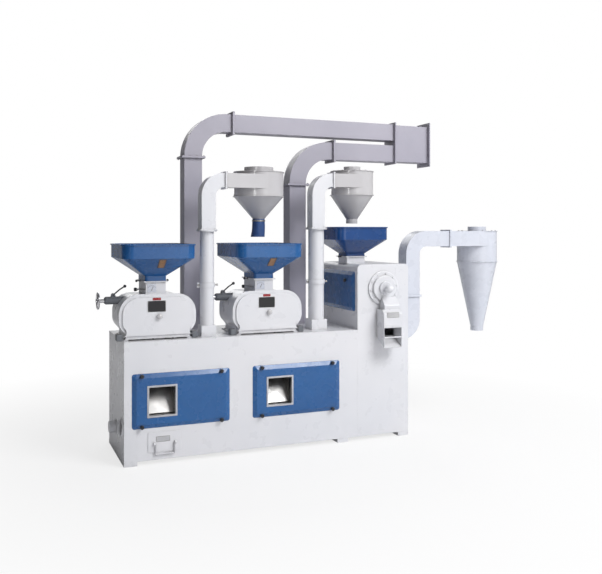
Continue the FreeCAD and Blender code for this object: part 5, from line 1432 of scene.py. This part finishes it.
@dataclass
class Studio:
    """White floor and surroundings, soft lamps and the camera of the photograph."""

    eye: Point = (-1.971, -5.562, 1.6)
    yaw: float = 22.5
    focal_pixels: float = 760.0
    image_width: float = 602.0
    image_height: float = 574.0
    horizon: float = 232.0
    sensor: float = 36.0
    far_clip: float = 100.0
    side_span: Span = (-0.8, 0.5)
    side_light: Span = (0.05, 0.46)
    floor_half: float = 20.0
    fade: Span = (1.5, 3.6)
    near_share: float = 0.74
    floor_paint: Colour = (0.86, 0.86, 0.87)
    lamps: dict = field(default_factory=lambda: {
        "key": ((2.9, -5.0, 5.6), (0.2, 0.0, 1.0), 3.4, 390.0),
        "front_fill": ((1.6, -7.0, 2.2), (0.2, 0.0, 1.0), 3.0, 40.0),
        "back_fill": ((1.0, 5.5, 4.0), (0.4, 0.0, 1.2), 4.0, 110.0),
        "strip": ((-3.4, -4.6, 2.3), (0.4, 0.0, 1.9), 0.4, 14.0)})

    def build(self) -> None:
        """Make the whole studio."""
        bpy.context.scene.view_settings.view_transform = "Standard"
        self.world()
        self.floor()
        self.camera()
        for name, lamp in self.lamps.items():
            self.lamp(name, *lamp)

    def world(self) -> None:
        """Soft light that falls off towards the left, seen as plain white by the camera."""
        world = bpy.data.worlds.new("studio")
        world.use_nodes = True
        world.node_tree.nodes.clear()
        graph = Graph(world.node_tree)
        heading = graph.add("TexCoord").outputs["Generated"]
        sideways = graph.add("SeparateXYZ", {0: heading}).outputs["X"]
        around = graph.spread(sideways, self.side_span, self.side_light)
        strength = graph.add("Mix", {0: graph.seen(), 2: around, 3: 1.0}).outputs[0]
        light = graph.add("Background", {"Color": (1.0, 1.0, 1.0, 1.0), "Strength": strength})
        output = graph.add("OutputWorld")
        graph.tree.links.new(light.outputs[0], output.inputs["Surface"])
        bpy.context.scene.world = world

    def floor(self) -> None:
        """Pale floor that keeps a soft shadow near the line and fades to white farther out."""
        half = self.floor_half
        mesh = bpy.data.meshes.new("floor")
        mesh.from_pydata([(-half, -half, 0), (half, -half, 0), (half, half, 0),
                          (-half, half, 0)], [], [(0, 1, 2, 3)])
        material, graph, place = start_material("studio_floor")
        paint = graph.add("BsdfDiffuse", {"Color": (*self.floor_paint, 1.0)})
        white = graph.add("Emission", {"Color": (1.0, 1.0, 1.0, 1.0), "Strength": 1.0})
        away = graph.add("VectorMath", {0: place}, operation="LENGTH").outputs["Value"]
        far = graph.spread(away, self.fade, (self.near_share, 1.0))
        share = graph.maths("MULTIPLY", graph.seen(), far)
        shader = graph.add("MixShader", {0: share, 1: paint.outputs[0], 2: white.outputs[0]})
        close_material(graph, shader)
        mesh.materials.append(material)
        piece = bpy.data.objects.new("floor", mesh)
        bpy.context.scene.collection.objects.link(piece)

    def camera(self) -> None:
        """Level camera at the photograph's place, its horizon above the frame's middle."""
        data = bpy.data.cameras.new("photo_camera")
        data.sensor_width = self.sensor
        data.lens = self.focal_pixels / self.image_width * self.sensor
        data.shift_y = (self.horizon - self.image_height / 2) / self.image_width
        data.clip_end = self.far_clip
        camera = bpy.data.objects.new("photo_camera", data)
        camera.location = self.eye
        camera.rotation_euler = (math.pi / 2, 0.0, -math.radians(self.yaw))
        bpy.context.scene.collection.objects.link(camera)
        bpy.context.scene.camera = camera

    def lamp(self, name: str, spot: Point, target: Point, size: float, power: float) -> None:
        """Soft square lamp.

        Args:
            name: The lamp's name.
            spot: Where it stands.
            target: The point that it looks at.
            size: Its side in metres.
            power: Its power in watts.
        """
        data = bpy.data.lights.new(name, "AREA")
        data.size = size
        data.energy = power
        lamp = bpy.data.objects.new(name, data)
        lamp.location = spot
        heading = np.array(target) - np.array(spot)
        flat = math.hypot(heading[0], heading[1])
        lamp.rotation_euler = (math.pi / 2 + math.atan2(heading[2], flat), 0.0,
                               math.atan2(heading[1], heading[0]) - math.pi / 2)
        bpy.context.scene.collection.objects.link(lamp)


def main() -> None:
    """Build and dress every sub-assembly in order."""
    logging.basicConfig(level=logging.INFO, format="%(name)s: %(message)s")
    for assembly in (Cabinet(), HullingHead(1), HullingHead(2), Whitener(), Pneumatics(),
                     Ducts(), Drive(), Studio()):
        LOG.info("building %s", type(assembly).__name__)
        assembly.build()


if __name__ == "__main__":
    main()
